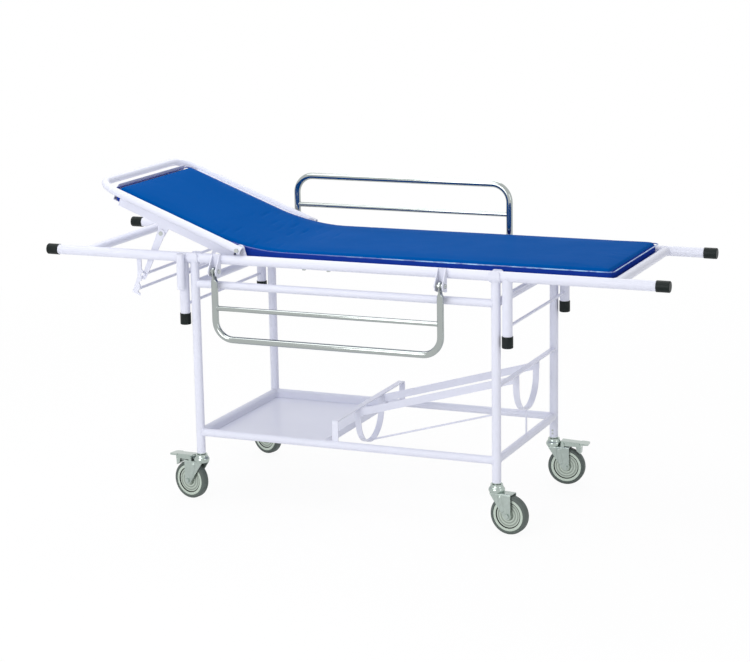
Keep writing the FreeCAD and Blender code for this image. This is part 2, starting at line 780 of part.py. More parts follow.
# Stretcher

def side_tube(side):
    bar = side_bar(side, SIDE_TUBE_R)
    return bar.cut(side_bar(side, SIDE_TUBE_R - SIDE_TUBE_WALL))


def rubber_cap(tip, into, length, radius):
    """Rubber cup on a tube's end: tip point, direction into the tube, tube radius."""
    body = rod(tip, tip + into * length, radius + CAP_WALL)
    rim = [edge for edge in body.Edges if (edge.CenterOfMass - tip).Length < 0.01]
    body = body.makeFillet(CAP_ROUND, rim)
    return body.cut(rod(tip + into * CAP_END, tip + into * length, radius))


def handle_cap(end, side):
    tip = V(ENDS[end] * (SIDE_TUBE_LENGTH / 2 + CAP_END), SIDES[side] * SIDE_Y, SIDE_TUBE_Z)
    return rubber_cap(tip, X * -ENDS[end], CAP_LENGTH, SIDE_TUBE_R)


def leg_point(end, side, z):
    x = LEG_HEAD_X if end == "head" else LEG_FOOT_X
    return V(x, SIDES[side] * SIDE_Y, z)


def leg_bar(end, side):
    """Solid bar along one leg."""
    return rod(leg_point(end, side, LEG_BOTTOM_Z + CAP_END), leg_point(end, side, SIDE_TUBE_Z), SIDE_TUBE_R)


def leg(end, side):
    """Short leg, coped under its side tube."""
    foot = leg_point(end, side, LEG_BOTTOM_Z + CAP_END)
    top = leg_point(end, side, SIDE_TUBE_Z)
    return tube(foot, top, SIDE_TUBE_R, LEG_WALL).cut(side_bar(side, SIDE_TUBE_R))


def leg_rod(end, z):
    """Thin rod between the two legs of one end."""
    start = leg_point(end, "right", z)
    return rod(start, leg_point(end, "left", z), THIN_ROD_R).cut([leg_bar(end, side) for side in SIDES])


def pan_half_width():
    """Half width between the saddles' inner cheeks that lets pads and backrest pass."""
    return SIDE_Y - SADDLE_OUTER_R - SADDLE_PASS


def half_chord(z):
    """Half width of a side tube at a height."""
    return math.sqrt(SIDE_TUBE_R ** 2 - (SIDE_TUBE_Z - z) ** 2)


def bed_bar(x):
    """Flat bar across under the bed panel, welded to the side tubes."""
    top = PANEL_TOP_Z - SHEET
    bottom = top - BED_BAR_THICKNESS
    reach = SIDE_Y - half_chord(top)
    return block((x - BED_BAR_WIDTH / 2, -reach, bottom), (x + BED_BAR_WIDTH / 2, reach, top))


def bed_panel():
    """Sheet under the seat, let in between the side tubes and notched round legs and saddles."""
    foot_tube = rod(*cross_points(END_TUBE_FOOT_X, SIDE_TUBE_Z, SIDE_Y), END_TUBE_R)
    legs = [leg_bar("foot", side) for side in SIDES]
    notches = []
    for side in SIDES:
        post_x = POST_SPACING / 2
        reach = SADDLE_LENGTH / 2 + SADDLE_PASS
        low_y, high_y = sorted((SIDES[side] * pan_half_width(), SIDES[side] * SIDE_Y))
        notches.append(block(
            (post_x - reach, low_y, PANEL_TOP_Z - 2 * SHEET), (post_x + reach, high_y, PANEL_TOP_Z + SHEET)))
    reach = SIDE_Y - half_chord(PANEL_TOP_Z) + SHEET
    sheet = block((PANEL_HEAD_X, -reach, PANEL_TOP_Z - SHEET), (END_TUBE_FOOT_X, reach, PANEL_TOP_Z))
    trimmed = sheet.cut(side_bars() + legs + notches + [foot_tube])
    return max(trimmed.Solids, key=lambda solid: solid.Volume)


def mattress_half_width():
    return pan_half_width() - SHEET - MATTRESS_GAP


def seat_mattress():
    """Soft pad on the bed panel, rounded at its corners."""
    half = mattress_half_width()
    foot_x = END_TUBE_FOOT_X - END_TUBE_R - SOFT_GAP
    return rounded_block(
        (SEAT_HEAD_X, -half, PANEL_TOP_Z), (foot_x, half, PANEL_TOP_Z + SEAT_THICKNESS), MATTRESS_ROUND, Z)


def iv_socket():
    """Blind tube beside the right side tube, which takes an infusion pole from above."""
    y = -SIDE_Y - SIDE_TUBE_R - SOCKET_R
    top = V(SOCKET_X, y, SOCKET_TOP_Z)
    bottom = top - Z * SOCKET_LENGTH
    return rod(bottom, top, SOCKET_R).cut(rod(bottom + Z * SOCKET_FLOOR, top, SOCKET_BORE_R))


def hinge_bracket(side):
    """Plate on top of a side tube, inside the backrest's tube, with an eye for its bolt."""
    low = HINGE_PLATE_Y
    middle_x = HINGE_X + HINGE_FOOT_SHIFT
    face = sketch(
        in_xz(0),
        (middle_x - HINGE_FOOT_LENGTH / 2, SIDE_TUBE_Z),
        (HINGE_X - HINGE_EYE_R, HINGE_Z),
        ((HINGE_X, HINGE_Z + HINGE_EYE_R), (HINGE_X + HINGE_EYE_R, HINGE_Z)),
        (middle_x + HINGE_FOOT_LENGTH / 2, SIDE_TUBE_Z),
    )
    plate = prism_between(face, Y, low, low + HINGE_PLATE).cut(side_bar("left", SIDE_TUBE_R))
    plate = plate.cut(rod(HINGE + Y * low, HINGE + Y * (low + HINGE_PLATE), HINGE_BOLT_R))
    return plate if side == "left" else plate.mirror(V(0, 0, 0), Y)


def hinge_bolt(side):
    """Bolt through backrest tube and bracket, with a head outside and a nut inside."""
    outward = Y * SIDES[side]
    nut_y = HINGE_PLATE_Y - BOLT_HEAD_HEIGHT
    head_start = HINGE + outward * (BACKREST_TUBE_Y + BACKREST_TUBE_R + WASHER_GAP)
    shank = rod(HINGE + outward * nut_y, head_start + outward * BOLT_HEAD_HEIGHT, HINGE_BOLT_R)
    head = hexagon(head_start, outward, BOLT_HEAD_FLATS, BOLT_HEAD_HEIGHT)
    nut = hexagon(HINGE + outward * nut_y, outward, BOLT_HEAD_FLATS, BOLT_HEAD_HEIGHT)
    return shank.fuse([head, nut]).removeSplitter()



# Side rails

def guard_pivot(side, end):
    """Middle of one pinched eye of a side rail."""
    return V(GUARD_X + ENDS[end] * GUARD_HALF_SPAN, SIDES[side] * GUARD_Y, GUARD_Z)


def cheek_range():
    """Inner and outer face of a clevis cheek, measured from the middle of the eye."""
    inner = GUARD_R + CLEVIS_GAP
    return inner, inner + CLEVIS_SHEET


def rail_clevis(side, end):
    """Bent sheet channel on the side tube, with two cheeks that hold the rail's bolt."""
    pivot = guard_pivot("left", end)
    web = SIDE_Y + SIDE_TUBE_R
    top = SIDE_TUBE_Z + CLEVIS_ABOVE
    bottom = SIDE_TUBE_Z - CLEVIS_BELOW
    inner, outer = cheek_range()
    slant = CLEVIS_R * DIAGONAL
    face = sketch(
        in_yz(0),
        (web, bottom),
        (GUARD_Y - CLEVIS_R / 2, bottom),
        (GUARD_Y + slant, GUARD_Z - slant),
        ((GUARD_Y + CLEVIS_R, GUARD_Z), (GUARD_Y + slant, GUARD_Z + slant)),
        (web + 2 * CLEVIS_SHEET, top),
        (web, top),
    )
    channel = prism_between(face, X, pivot.x - outer, pivot.x + outer)
    space = block(
        (pivot.x - inner, web + CLEVIS_SHEET, bottom), (pivot.x + inner, GUARD_Y + CLEVIS_R, top))
    hole = rod(pivot - X * outer, pivot + X * outer, GUARD_BOLT_R)
    channel = channel.cut([space, hole])
    return channel if side == "left" else channel.mirror(V(0, 0, 0), Y)


def rail_bolt(side, end):
    """Cross bolt with two spacer sleeves, head and nut."""
    pivot = guard_pivot(side, end)
    inner, outer = cheek_range()
    eye = GUARD_EYE_THICKNESS / 2 + SLEEVE_GAP
    reach = outer + BOLT_HEAD_HEIGHT
    shank = rod(pivot - X * reach, pivot + X * reach, GUARD_BOLT_R)
    sleeves = [rod(pivot + X * eye * way, pivot + X * inner * way, SLEEVE_R) for way in (-1, 1)]
    heads = [hexagon(pivot + X * outer * way, X * way, BOLT_HEAD_FLATS, BOLT_HEAD_HEIGHT) for way in (-1, 1)]
    return shank.fuse(sleeves + heads).removeSplitter()


def round_section(centre, radius, half_angle):
    """Circle in four arcs that match the sides of a flattened section."""
    def point(angle):
        turn = math.radians(angle)
        return centre + V(radius * math.cos(turn), radius * math.sin(turn), 0)
    marks = (-half_angle, 0, half_angle, 90, 180 - half_angle, 180, 180 + half_angle, 270, -half_angle)
    points = [point(mark) for mark in marks]
    arcs = [Part.Arc(points[k], points[k + 1], points[k + 2]).toShape() for k in (0, 2, 4, 6)]
    return Part.Wire(arcs)


def flat_section(centre):
    """Flattened tube section: broad in Y, thin in X, with rounded edges."""
    half_thick = GUARD_EYE_THICKNESS / 2
    half_wide = GUARD_EYE_R - half_thick
    low_right = centre + V(half_thick, -half_wide, 0)
    high_right = centre + V(half_thick, half_wide, 0)
    high_left = centre + V(-half_thick, half_wide, 0)
    low_left = centre + V(-half_thick, -half_wide, 0)
    return Part.Wire([
        Part.LineSegment(low_right, high_right).toShape(),
        Part.Arc(high_right, centre + Y * GUARD_EYE_R, high_left).toShape(),
        Part.LineSegment(high_left, low_left).toShape(),
        Part.Arc(low_left, centre - Y * GUARD_EYE_R, low_right).toShape(),
    ])


def pinched_end(side, end):
    """Flattened end of the rail's tube with its eye, blending into the round tube."""
    pivot = guard_pivot(side, end)
    up = Z * GUARD_RAISED[side]
    flat = flat_section(pivot + up * GUARD_FLAT)
    blend = Part.makeLoft([flat, round_section(pivot + up * GUARD_ROUND_FROM, GUARD_R, 60)], True, True)
    half = GUARD_EYE_THICKNESS / 2
    tongue = Part.Face(flat).extrude(up * -GUARD_FLAT)
    eye = rod(pivot - X * half, pivot + X * half, GUARD_EYE_R)
    return tongue, blend, eye


def guard_corners(side):
    """Corners of the rail's U, from one round tube end to the other."""
    up = Z * GUARD_RAISED[side]
    head = guard_pivot(side, "head")
    foot = guard_pivot(side, "foot")
    return [
        head + up * GUARD_ROUND_FROM, head + up * GUARD_HEIGHT,
        foot + up * GUARD_HEIGHT, foot + up * GUARD_ROUND_FROM,
    ]


def guard_frame(side):
    """U-shaped tube of a side rail with its two pinched ends."""
    bow = round_bar(guard_corners(side), GUARD_BEND, GUARD_R)
    inside = round_bar(guard_corners(side), GUARD_BEND, GUARD_R - GUARD_WALL)
    ends = [piece for end in ENDS for piece in pinched_end(side, end)]
    reach = X * (GUARD_EYE_R + GUARD_EYE_THICKNESS)
    pivots = [guard_pivot(side, end) for end in ENDS]
    holes = [rod(pivot - reach, pivot + reach, GUARD_BOLT_R + PIN_CLEARANCE) for pivot in pivots]
    return bow.fuse(ends).removeSplitter().cut([inside] + holes)


def guard_bar(side):
    """Middle bar of a side rail, coped to both arms."""
    rise = Z * GUARD_RAISED[side] * GUARD_BAR_HEIGHT
    arm = Z * GUARD_RAISED[side] * GUARD_HEIGHT
    head = guard_pivot(side, "head")
    foot = guard_pivot(side, "foot")
    arms = [rod(pivot, pivot + arm, GUARD_R) for pivot in (head, foot)]
    return tube(head + rise, foot + rise, GUARD_BAR_R, GUARD_WALL).cut(arms)


# Backrest, flat coordinates: s towards the head, y across, n upwards, all from the hinge

def on_backrest(s, y, n):
    return V(HINGE_X - s, y, HINGE_Z + n)


def tilted(shape):
    """Raise a flat backrest piece to its resting angle."""
    shape.rotate(HINGE, Y, BACKREST_ANGLE)
    return shape


def backrest_frame():
    """U-shaped tube, open at its foot ends, with the hinge holes."""
    corners = [
        on_backrest(-BACKREST_TAIL, -BACKREST_TUBE_Y, 0),
        on_backrest(BACKREST_LENGTH, -BACKREST_TUBE_Y, 0),
        on_backrest(BACKREST_LENGTH, BACKREST_TUBE_Y, 0),
        on_backrest(-BACKREST_TAIL, BACKREST_TUBE_Y, 0),
    ]
    bow = bent_tube(corners, BACKREST_BEND, BACKREST_TUBE_R, BACKREST_TUBE_WALL)
    reach = Y * (BACKREST_TUBE_Y + 2 * BACKREST_TUBE_R)
    return tilted(bow.cut(rod(HINGE - reach, HINGE + reach, HINGE_BOLT_R + PIN_CLEARANCE)))


def backrest_sheet(s_range, y_range, n_range):
    """Flat part of the backrest's bent sheet."""
    return block(
        (HINGE_X - s_range[1], y_range[0], HINGE_Z + n_range[0]),
        (HINGE_X - s_range[0], y_range[1], HINGE_Z + n_range[1]))


def backrest_panel():
    """Hat-section sheet: floor under the pad, upright sides, lips on the tube, head flange."""
    floor_n = (-BACKREST_FLOOR_DEPTH - SHEET, -BACKREST_FLOOR_DEPTH)
    wing = (BACKREST_WING_START, BACKREST_WING_END)
    lip_y = BACKREST_TUBE_Y - BACKREST_TUBE_R
    head = BACKREST_HEAD_HALF_WIDTH
    half = pan_half_width()
    pieces = [
        backrest_sheet((BACKREST_SHEET_START, BACKREST_WING_END), (-half, half), floor_n),
        backrest_sheet((BACKREST_WING_END, BACKREST_SHEET_END), (-head, head), floor_n),
        rounded_block(
            (HINGE_X - BACKREST_SHEET_END, -head, HINGE_Z + floor_n[0]),
            (HINGE_X - BACKREST_SHEET_END + SHEET, head, HINGE_Z + BACKREST_HEAD_FLANGE),
            BACKREST_HEAD_ROUND, X),
    ]
    pieces.append(backrest_sheet(
        (BACKREST_SHEET_END - SHEET, BACKREST_SHEET_END), (-head, head), (floor_n[0], 0)))
    for way in (-1, 1):
        inner_face = way * (half - SHEET)
        pieces.append(backrest_sheet(wing, sorted((inner_face, way * half)), (floor_n[0], 0)))
        pieces.append(backrest_sheet(wing, sorted((inner_face, way * lip_y)), (-SHEET, 0)))
    return tilted(pieces[0].fuse(pieces[1:]).removeSplitter())


def backrest_mattress():
    """Soft pad lying in the bent sheet."""
    half = mattress_half_width()
    end = BACKREST_SHEET_END - SHEET - SOFT_GAP
    return tilted(rounded_block(
        (HINGE_X - end, -half, HINGE_Z - BACKREST_FLOOR_DEPTH),
        (HINGE_X - BACKREST_PAD_START, half, HINGE_Z + BACKREST_PAD_ABOVE), MATTRESS_ROUND, Z))


def strut_y():
    """Outer and inner face of a prop strut, and of the lug inside it."""
    outer = RATCHET_Y - PROP_SHEET
    inner = outer - PROP_SHEET
    lug_outer = inner - PROP_GAP
    return outer, inner, lug_outer, lug_outer - LUG_SHEET


def prop_lug(side):
    """Lug under the backrest's sheet that carries the prop."""
    floor_n = -BACKREST_FLOOR_DEPTH - SHEET
    outer, inner = strut_y()[2:]
    face = sketch(
        lambda s, n: on_backrest(s, 0, n),
        (LUG_S - LUG_TOP_WIDTH / 2, floor_n),
        (LUG_S - LUG_R, LUG_N),
        ((LUG_S, LUG_N - LUG_R), (LUG_S + LUG_R, LUG_N)),
        (LUG_S + LUG_TOP_WIDTH / 2, floor_n),
    )
    plate = prism_between(face, Y, inner, outer)
    bolt = on_backrest(LUG_S, 0, LUG_N)
    plate = plate.cut(rod(bolt, bolt + Y * SIDE_Y, PROP_BOLT_R + PIN_CLEARANCE))
    return tilted(plate if side == "left" else plate.mirror(V(0, 0, 0), Y))


# Prop and ratchet, from the path that the prop's rod takes as the backrest tilts

def prop_points(angle):
    """Lug bolt and prop rod, in the middle of the cot, with the backrest at an angle."""
    bolt = on_backrest(LUG_S, 0, LUG_N) - HINGE
    bolt = HINGE + FreeCAD.Rotation(Y, angle).multVec(bolt)
    lean = math.radians(PROP_LEAN)
    arm = V(-math.sin(lean), 0, -math.cos(lean)) * PROP_LENGTH
    turn = (angle - BACKREST_ANGLE) * (1 + PROP_TURN)
    return bolt, bolt + FreeCAD.Rotation(Y, turn).multVec(arm)


def prop_strut(side):
    """Flat strut from the lug's bolt to the rod, tapering past it."""
    bolt, rod_centre = prop_points(BACKREST_ANGLE)
    outer, inner = strut_y()[:2]
    tip = PROP_LENGTH + PROP_TAIL
    face = sketch(
        lambda u, v: V(u, 0, -v),
        (PROP_R, 0),
        ((0, -PROP_R), (-PROP_R, 0)),
        (-PROP_TIP_R, tip - PROP_TIP_R),
        ((0, tip), (PROP_TIP_R, tip - PROP_TIP_R)),
    )
    strut = prism_between(face, Y, inner, outer)
    strut.rotate(V(0, 0, 0), Y, PROP_LEAN)
    strut.translate(bolt)
    reach = Y * SIDE_Y
    strut = strut.cut([rod(bolt, bolt + reach, PROP_BOLT_R), rod(rod_centre, rod_centre + reach, THIN_ROD_R)])
    return strut if side == "left" else strut.mirror(V(0, 0, 0), Y)


def prop_rod():
    """Thin rod through both struts, whose ends drop into the ratchet."""
    centre = prop_points(BACKREST_ANGLE)[1]
    reach = RATCHET_Y + RATCHET_SHEET + 2 * PROP_GAP
    return rod(centre - Y * reach, centre + Y * reach, THIN_ROD_R)


def prop_bolt(side):
    """Button-headed bolt through strut and lug, with a round nut."""
    outward = Y * SIDES[side]
    centre = prop_points(BACKREST_ANGLE)[0]
    outer, inner, lug_outer, lug_inner = strut_y()
    nut_end = lug_inner - WASHER_GAP
    head = rod(centre + outward * outer, centre + outward * (outer + PROP_BOLT_HEAD), PROP_BOLT_HEAD_R)
    nut = rod(centre + outward * (nut_end - PROP_NUT), centre + outward * nut_end, PROP_BOLT_HEAD_R)
    shank = rod(centre + outward * (nut_end - PROP_NUT), centre + outward * outer, PROP_BOLT_R)
    return shank.fuse([head, nut]).removeSplitter()


def ratchet_plate(side):
    """Hanging plate whose foot edge follows the prop rod's path, cut with catch notches."""
    run = THIN_ROD_R + RATCHET_RUN
    beside = [prop_points(angle)[1] - X * run for angle in
              (RATCHET_TOP_ANGLE, (RATCHET_TOP_ANGLE + RATCHET_END_ANGLE) / 2, RATCHET_END_ANGLE)]
    top, middle, bottom = [(point.x, point.z) for point in beside]
    face = sketch(
        in_xz(0),
        (RATCHET_STRIP_HEAD_X, SIDE_TUBE_Z),
        (RATCHET_STRIP_FOOT_X, SIDE_TUBE_Z),
        (RATCHET_STRIP_FOOT_X, top[1] + run),
        top,
        (middle, bottom),
        (bottom[0], bottom[1] - run),
        (RATCHET_TOE_X, RATCHET_TOE_Z),
        (RATCHET_STRIP_HEAD_X, RATCHET_WAIST_Z),
    )
    plate = prism_between(face, Y, RATCHET_Y, RATCHET_Y + RATCHET_SHEET)
    reach = Y * (RATCHET_Y + RATCHET_SHEET)
    notches = []
    for angle in RATCHET_ANGLES:
        path_point = prop_points(angle)[1]
        seat = path_point + V(RATCHET_NOTCH[0], 0, RATCHET_NOTCH[1])
        along = path_point - seat
        across = V(along.z, 0, -along.x).normalize() * run
        mouth = [seat - across, seat + across, path_point + across, path_point - across, seat - across]
        notches.append(rod(seat, seat + reach, run))
        notches.append(Part.Face(Part.makePolygon(mouth)).extrude(reach))
    plate = plate.cut(notches + [side_bar("left", SIDE_TUBE_R)])
    plate = max(plate.Solids, key=lambda solid: solid.Volume)
    return plate if side == "left" else plate.mirror(V(0, 0, 0), Y)


def ratchet_rod():
    """Thin rod between the two ratchet plates."""
    return rod(*cross_points(RATCHET_ROD_X, RATCHET_ROD_Z, RATCHET_Y), THIN_ROD_R)


def build_trolley():
    for end in ENDS:
        for side in SIDES:
            save("post_" + end + "_" + side, post(end, side))
    for side in SIDES:
        save("upper_rail_" + side, side_rail(side, UPPER_RAIL_Z))
        save("lower_rail_" + side, side_rail(side, LOWER_RAIL_Z))
    save("upper_end_tubes", *[trolley_end_tube(end, UPPER_RAIL_Z) for end in ENDS])
    save("lower_end_tubes", *[trolley_end_tube(end, LOWER_RAIL_Z) for end in ENDS])
    save("saddles", *[saddle(end, side) for end in ENDS for side in SIDES])
    save("tray", tray())
    save("cradle_bars", hat_bar(), foot_bar())
    save("cradle_hoops", *[hoop(x, top) for x, top in hoop_places()])
    save("cradle_side_bars", *[cradle_side_bar(side) for side in SIDES])
    save("cradle_rods", *cradle_rods())


def build_casters():
    save("caster_stems", *[caster_stem(end, side) for end in ENDS for side in SIDES])
    for end in ENDS:
        for side in SIDES:
            name = end + "_" + side
            braked = (end, side) in BRAKED
            fork = [at_corner(piece, end, side) for piece in (caster_fork(braked), axle_bolt())]
            save("caster_fork_" + name, *fork)
            save("wheel_core_" + name, at_corner(wheel_core(), end, side))
            save("tyre_" + name, at_corner(tyre(), end, side))
            if braked:
                save("brake_pedal_" + name, at_corner(brake_pedal(), end, side))


def build_stretcher():
    for side in SIDES:
        save("longeron_" + side, side_tube(side))
    save("handle_caps", *[handle_cap(end, side) for end in ENDS for side in SIDES])
    end_xs = (END_TUBE_HEAD_X, END_TUBE_FOOT_X)
    save("end_cross_tubes", *[end_cross_tube(x) for x in end_xs])
    save("bed_cross_bars", *[bed_bar(x) for x in BED_BAR_XS])
    save("bed_panel", bed_panel())
    save("seat_mattress", seat_mattress())
    for end in ENDS:
        save("legs_" + end, *[leg(end, side) for side in SIDES])
    foot_points = [leg_point(end, side, LEG_BOTTOM_Z) for end in ENDS for side in SIDES]
    save("leg_caps", *[rubber_cap(point, Z, LEG_CAP_LENGTH, SIDE_TUBE_R) for point in foot_points])
    rods = [leg_rod(end, z) for end in ENDS for z in LEG_ROD_ZS]
    save("cross_rods", *rods, ratchet_rod())
    save("iv_socket", iv_socket())
    save("hinge_brackets", *[hinge_bracket(side) for side in SIDES])
    save("hinge_bolts", *[hinge_bolt(side) for side in SIDES])
    save("rail_clevises", *[rail_clevis(side, end) for side in SIDES for end in ENDS])
    save("rail_bolts", *[rail_bolt(side, end) for side in SIDES for end in ENDS])
    save("ratchet_plates", *[ratchet_plate(side) for side in SIDES])


def build_moving_parts():
    save("backrest_frame", backrest_frame())
    save("backrest_panel", backrest_panel())
    save("backrest_mattress", backrest_mattress())
    save("prop_lugs", *[prop_lug(side) for side in SIDES])
    save("prop_struts", *[prop_strut(side) for side in SIDES])
    save("prop_rod", prop_rod())
    save("prop_bolts", *[prop_bolt(side) for side in SIDES])
    for side in SIDES:
        save("rail_" + side + "_frame", guard_frame(side))
        save("rail_" + side + "_bar", guard_bar(side))


os.makedirs("parts", exist_ok=True)
build_trolley()
build_casters()
build_stretcher()
build_moving_parts()
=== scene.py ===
"""Ambulance cot: a lift-off stretcher with a folding backrest and side rails on a wheeled trolley."""
import json
import math

import bpy
from bpy.props import FloatProperty, FloatVectorProperty, PointerProperty
from mathutils import Matrix, Vector


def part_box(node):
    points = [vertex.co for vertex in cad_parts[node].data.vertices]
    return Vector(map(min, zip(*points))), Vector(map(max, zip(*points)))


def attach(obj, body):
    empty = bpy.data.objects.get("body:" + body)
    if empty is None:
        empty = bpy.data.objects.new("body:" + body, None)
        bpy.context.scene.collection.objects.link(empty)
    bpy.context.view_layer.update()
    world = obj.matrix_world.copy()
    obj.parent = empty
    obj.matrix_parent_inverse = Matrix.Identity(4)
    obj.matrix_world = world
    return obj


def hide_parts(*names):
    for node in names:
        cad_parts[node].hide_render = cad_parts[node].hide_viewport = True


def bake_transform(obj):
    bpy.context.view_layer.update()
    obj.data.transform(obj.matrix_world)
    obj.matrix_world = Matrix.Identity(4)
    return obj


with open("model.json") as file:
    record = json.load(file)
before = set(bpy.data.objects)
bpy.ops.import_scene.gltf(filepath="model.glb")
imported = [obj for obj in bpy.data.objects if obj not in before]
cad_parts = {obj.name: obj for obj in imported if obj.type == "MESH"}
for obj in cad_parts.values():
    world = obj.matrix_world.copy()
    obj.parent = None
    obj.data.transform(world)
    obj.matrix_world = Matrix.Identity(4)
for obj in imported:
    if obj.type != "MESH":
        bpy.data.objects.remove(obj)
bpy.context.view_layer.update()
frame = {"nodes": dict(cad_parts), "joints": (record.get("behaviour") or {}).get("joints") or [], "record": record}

bl_info = {
    "name": "Ambulance Cot",
    "version": (1, 0, 0),
    "blender": (4, 5, 0),
    "location": "3D View > Sidebar > Cot",
    "description": "Finishes, mattress, small fittings and studio for the cot",
    "category": "Object",
}

JOINTS = {joint["name"]: joint for joint in frame["joints"]}
SLOT_OF_NODE = {part["node"]: part["material_slot"] for part in frame["record"]["subparts"]}

# The backrest at rest, and the length over which the mattress bends at its hinge
BACKREST_ANGLE = math.radians(21)
BEND_TANGENT = 0.15
BACKREST_PAD_LENGTH = 0.492
BACKREST_PAD_BOTTOM = -0.046
BACKREST_PAD_THICKNESS = 0.057
SEAT_THICKNESS = 0.05


def linear(hex_colour):
    """Linear red, green and blue of an sRGB hex colour."""
    channels = [int(hex_colour[start:start + 2], 16) / 255 for start in (1, 3, 5)]
    return tuple(c / 12.92 if c <= 0.04045 else ((c + 0.055) / 1.055) ** 2.4 for c in channels)


def opaque(colour):
    """A colour with an alpha of one."""
    return (*colour, 1.0)


# ---------------------------------------------------------------- settings

class CotSizes(bpy.types.PropertyGroup):
    """Sizes of what is added to the frame."""
    swell: FloatProperty(
        name="Mattress swell", description="How far the cover bulges from the cut block",
        default=0.004, min=0, max=0.01, unit="LENGTH")
    corner_round: FloatProperty(
        name="Mattress edge", description="Radius of the mattress's edges",
        default=0.014, min=0.004, max=0.02, unit="LENGTH")
    seam_drop: FloatProperty(
        name="Seam depth", description="Height of the top edge above the seam round the sides",
        default=0.011, min=0.005, max=0.02, unit="LENGTH")
    welt_radius: FloatProperty(
        name="Welt radius", description="Radius of the rolled seam in the cover",
        default=0.002, min=0.0005, max=0.003, unit="LENGTH")
    pucker: FloatProperty(
        name="Pucker depth", description="Depth of the small gathers along the seam",
        default=0.0011, min=0, max=0.003, unit="LENGTH")
    crease: FloatProperty(
        name="Crease depth", description="Depth of the creases across the mattress at its bend",
        default=0.0045, min=0, max=0.008, unit="LENGTH")
    weld_radius: FloatProperty(
        name="Weld size", description="Radius of the weld beads at the tube joints",
        default=0.0024, min=0.001, max=0.004, unit="LENGTH")


class CotColours(bpy.types.PropertyGroup):
    """Colours of the finishes."""
    paint: FloatVectorProperty(
        name="Frame paint", description="Powder coat of the tubes and sheets",
        subtype="COLOR", default=linear("#DFE1EE"), min=0, max=1)
    cloth: FloatVectorProperty(
        name="Mattress top", description="Coated cloth of the mattress's top",
        subtype="COLOR", default=linear("#00509E"), min=0, max=1)
    boxing: FloatVectorProperty(
        name="Mattress sides", description="Coated cloth of the mattress's sides",
        subtype="COLOR", default=linear("#1B3A9C"), min=0, max=1)
    glint: FloatVectorProperty(
        name="Seam glints", description="Paler colour that stands for the glints of the seam",
        subtype="COLOR", default=linear("#8FBBE8"), min=0, max=1)
    chrome: FloatVectorProperty(
        name="Chrome", description="Chrome plate of the side rails",
        subtype="COLOR", default=linear("#A9AFAD"), min=0, max=1)
    zinc: FloatVectorProperty(
        name="Zinc", description="Zinc plate of the caster forks",
        subtype="COLOR", default=linear("#B4C0BA"), min=0, max=1)
    wheel: FloatVectorProperty(
        name="Wheel disc", description="Turned and plated disc of the wheels",
        subtype="COLOR", default=linear("#BCC8BD"), min=0, max=1)
    tread: FloatVectorProperty(
        name="Tread", description="Grey rubber of the treads",
        subtype="COLOR", default=linear("#5C6561"), min=0, max=1)
    rubber: FloatVectorProperty(
        name="Caps", description="Black rubber of the caps and feet",
        subtype="COLOR", default=linear("#02110F"), min=0, max=1)
    bolt: FloatVectorProperty(
        name="Bolts", description="Zinc plate of the bolts and screws",
        subtype="COLOR", default=linear("#C8CDCA"), min=0, max=1)


# ---------------------------------------------------------------- finishes

def add_node(tree, kind, sockets=None, **settings):
    """Adds a node with its settings, and the values or links of its input sockets."""
    node = tree.nodes.new(kind)
    for name, value in settings.items():
        setattr(node, name, value)
    for key, value in (sockets or {}).items():
        if isinstance(value, bpy.types.NodeSocket):
            tree.links.new(value, node.inputs[key])
        else:
            node.inputs[key].default_value = value
    return node


def start_finish(name, **values):
    """A new material, its node tree and its shader with these socket values."""
    material = bpy.data.materials.new(name)
    material.use_nodes = True
    tree = material.node_tree
    shader = tree.nodes["Principled BSDF"]
    for key, value in values.items():
        shader.inputs[key.replace("_", " ")].default_value = value
    return material, tree, shader


def powder_coated_steel(colours):
    """Polyester powder baked on steel: a soft gloss with faint orange peel and a slow change of tone."""
    material, tree, shader = start_finish(
        "powder_coated_steel", Roughness=0.3, IOR=1.5, Specular_IOR_Level=0.2)
    place = add_node(tree, "ShaderNodeTexCoord").outputs["Object"]
    cloud = add_node(tree, "ShaderNodeTexNoise", {"Vector": place, "Scale": 1 / 0.25, "Detail": 2.0})
    tint = add_node(
        tree, "ShaderNodeMix",
        {0: cloud.outputs["Fac"], 6: opaque(colours.paint), 7: opaque(c * 0.96 for c in colours.paint)},
        data_type="RGBA")
    handling = add_node(tree, "ShaderNodeTexNoise", {"Vector": place, "Scale": 1 / 0.12, "Detail": 2.0})
    dull = add_node(
        tree, "ShaderNodeMapRange",
        {"Value": handling.outputs["Fac"], "From Min": 0.4, "From Max": 0.7, "To Min": 0.3, "To Max": 0.36})
    # Orange peel is about 1.5 mm across, drawn at 3 mm so that it shows
    peel = add_node(tree, "ShaderNodeTexNoise", {"Vector": place, "Scale": 1 / 0.003, "Detail": 1.0})
    bump = add_node(
        tree, "ShaderNodeBump", {"Height": peel.outputs["Fac"], "Strength": 0.02, "Distance": 0.0002})
    tree.links.new(tint.outputs[2], shader.inputs["Base Color"])
    tree.links.new(dull.outputs["Result"], shader.inputs["Roughness"])
    tree.links.new(bump.outputs["Normal"], shader.inputs["Normal"])
    return material


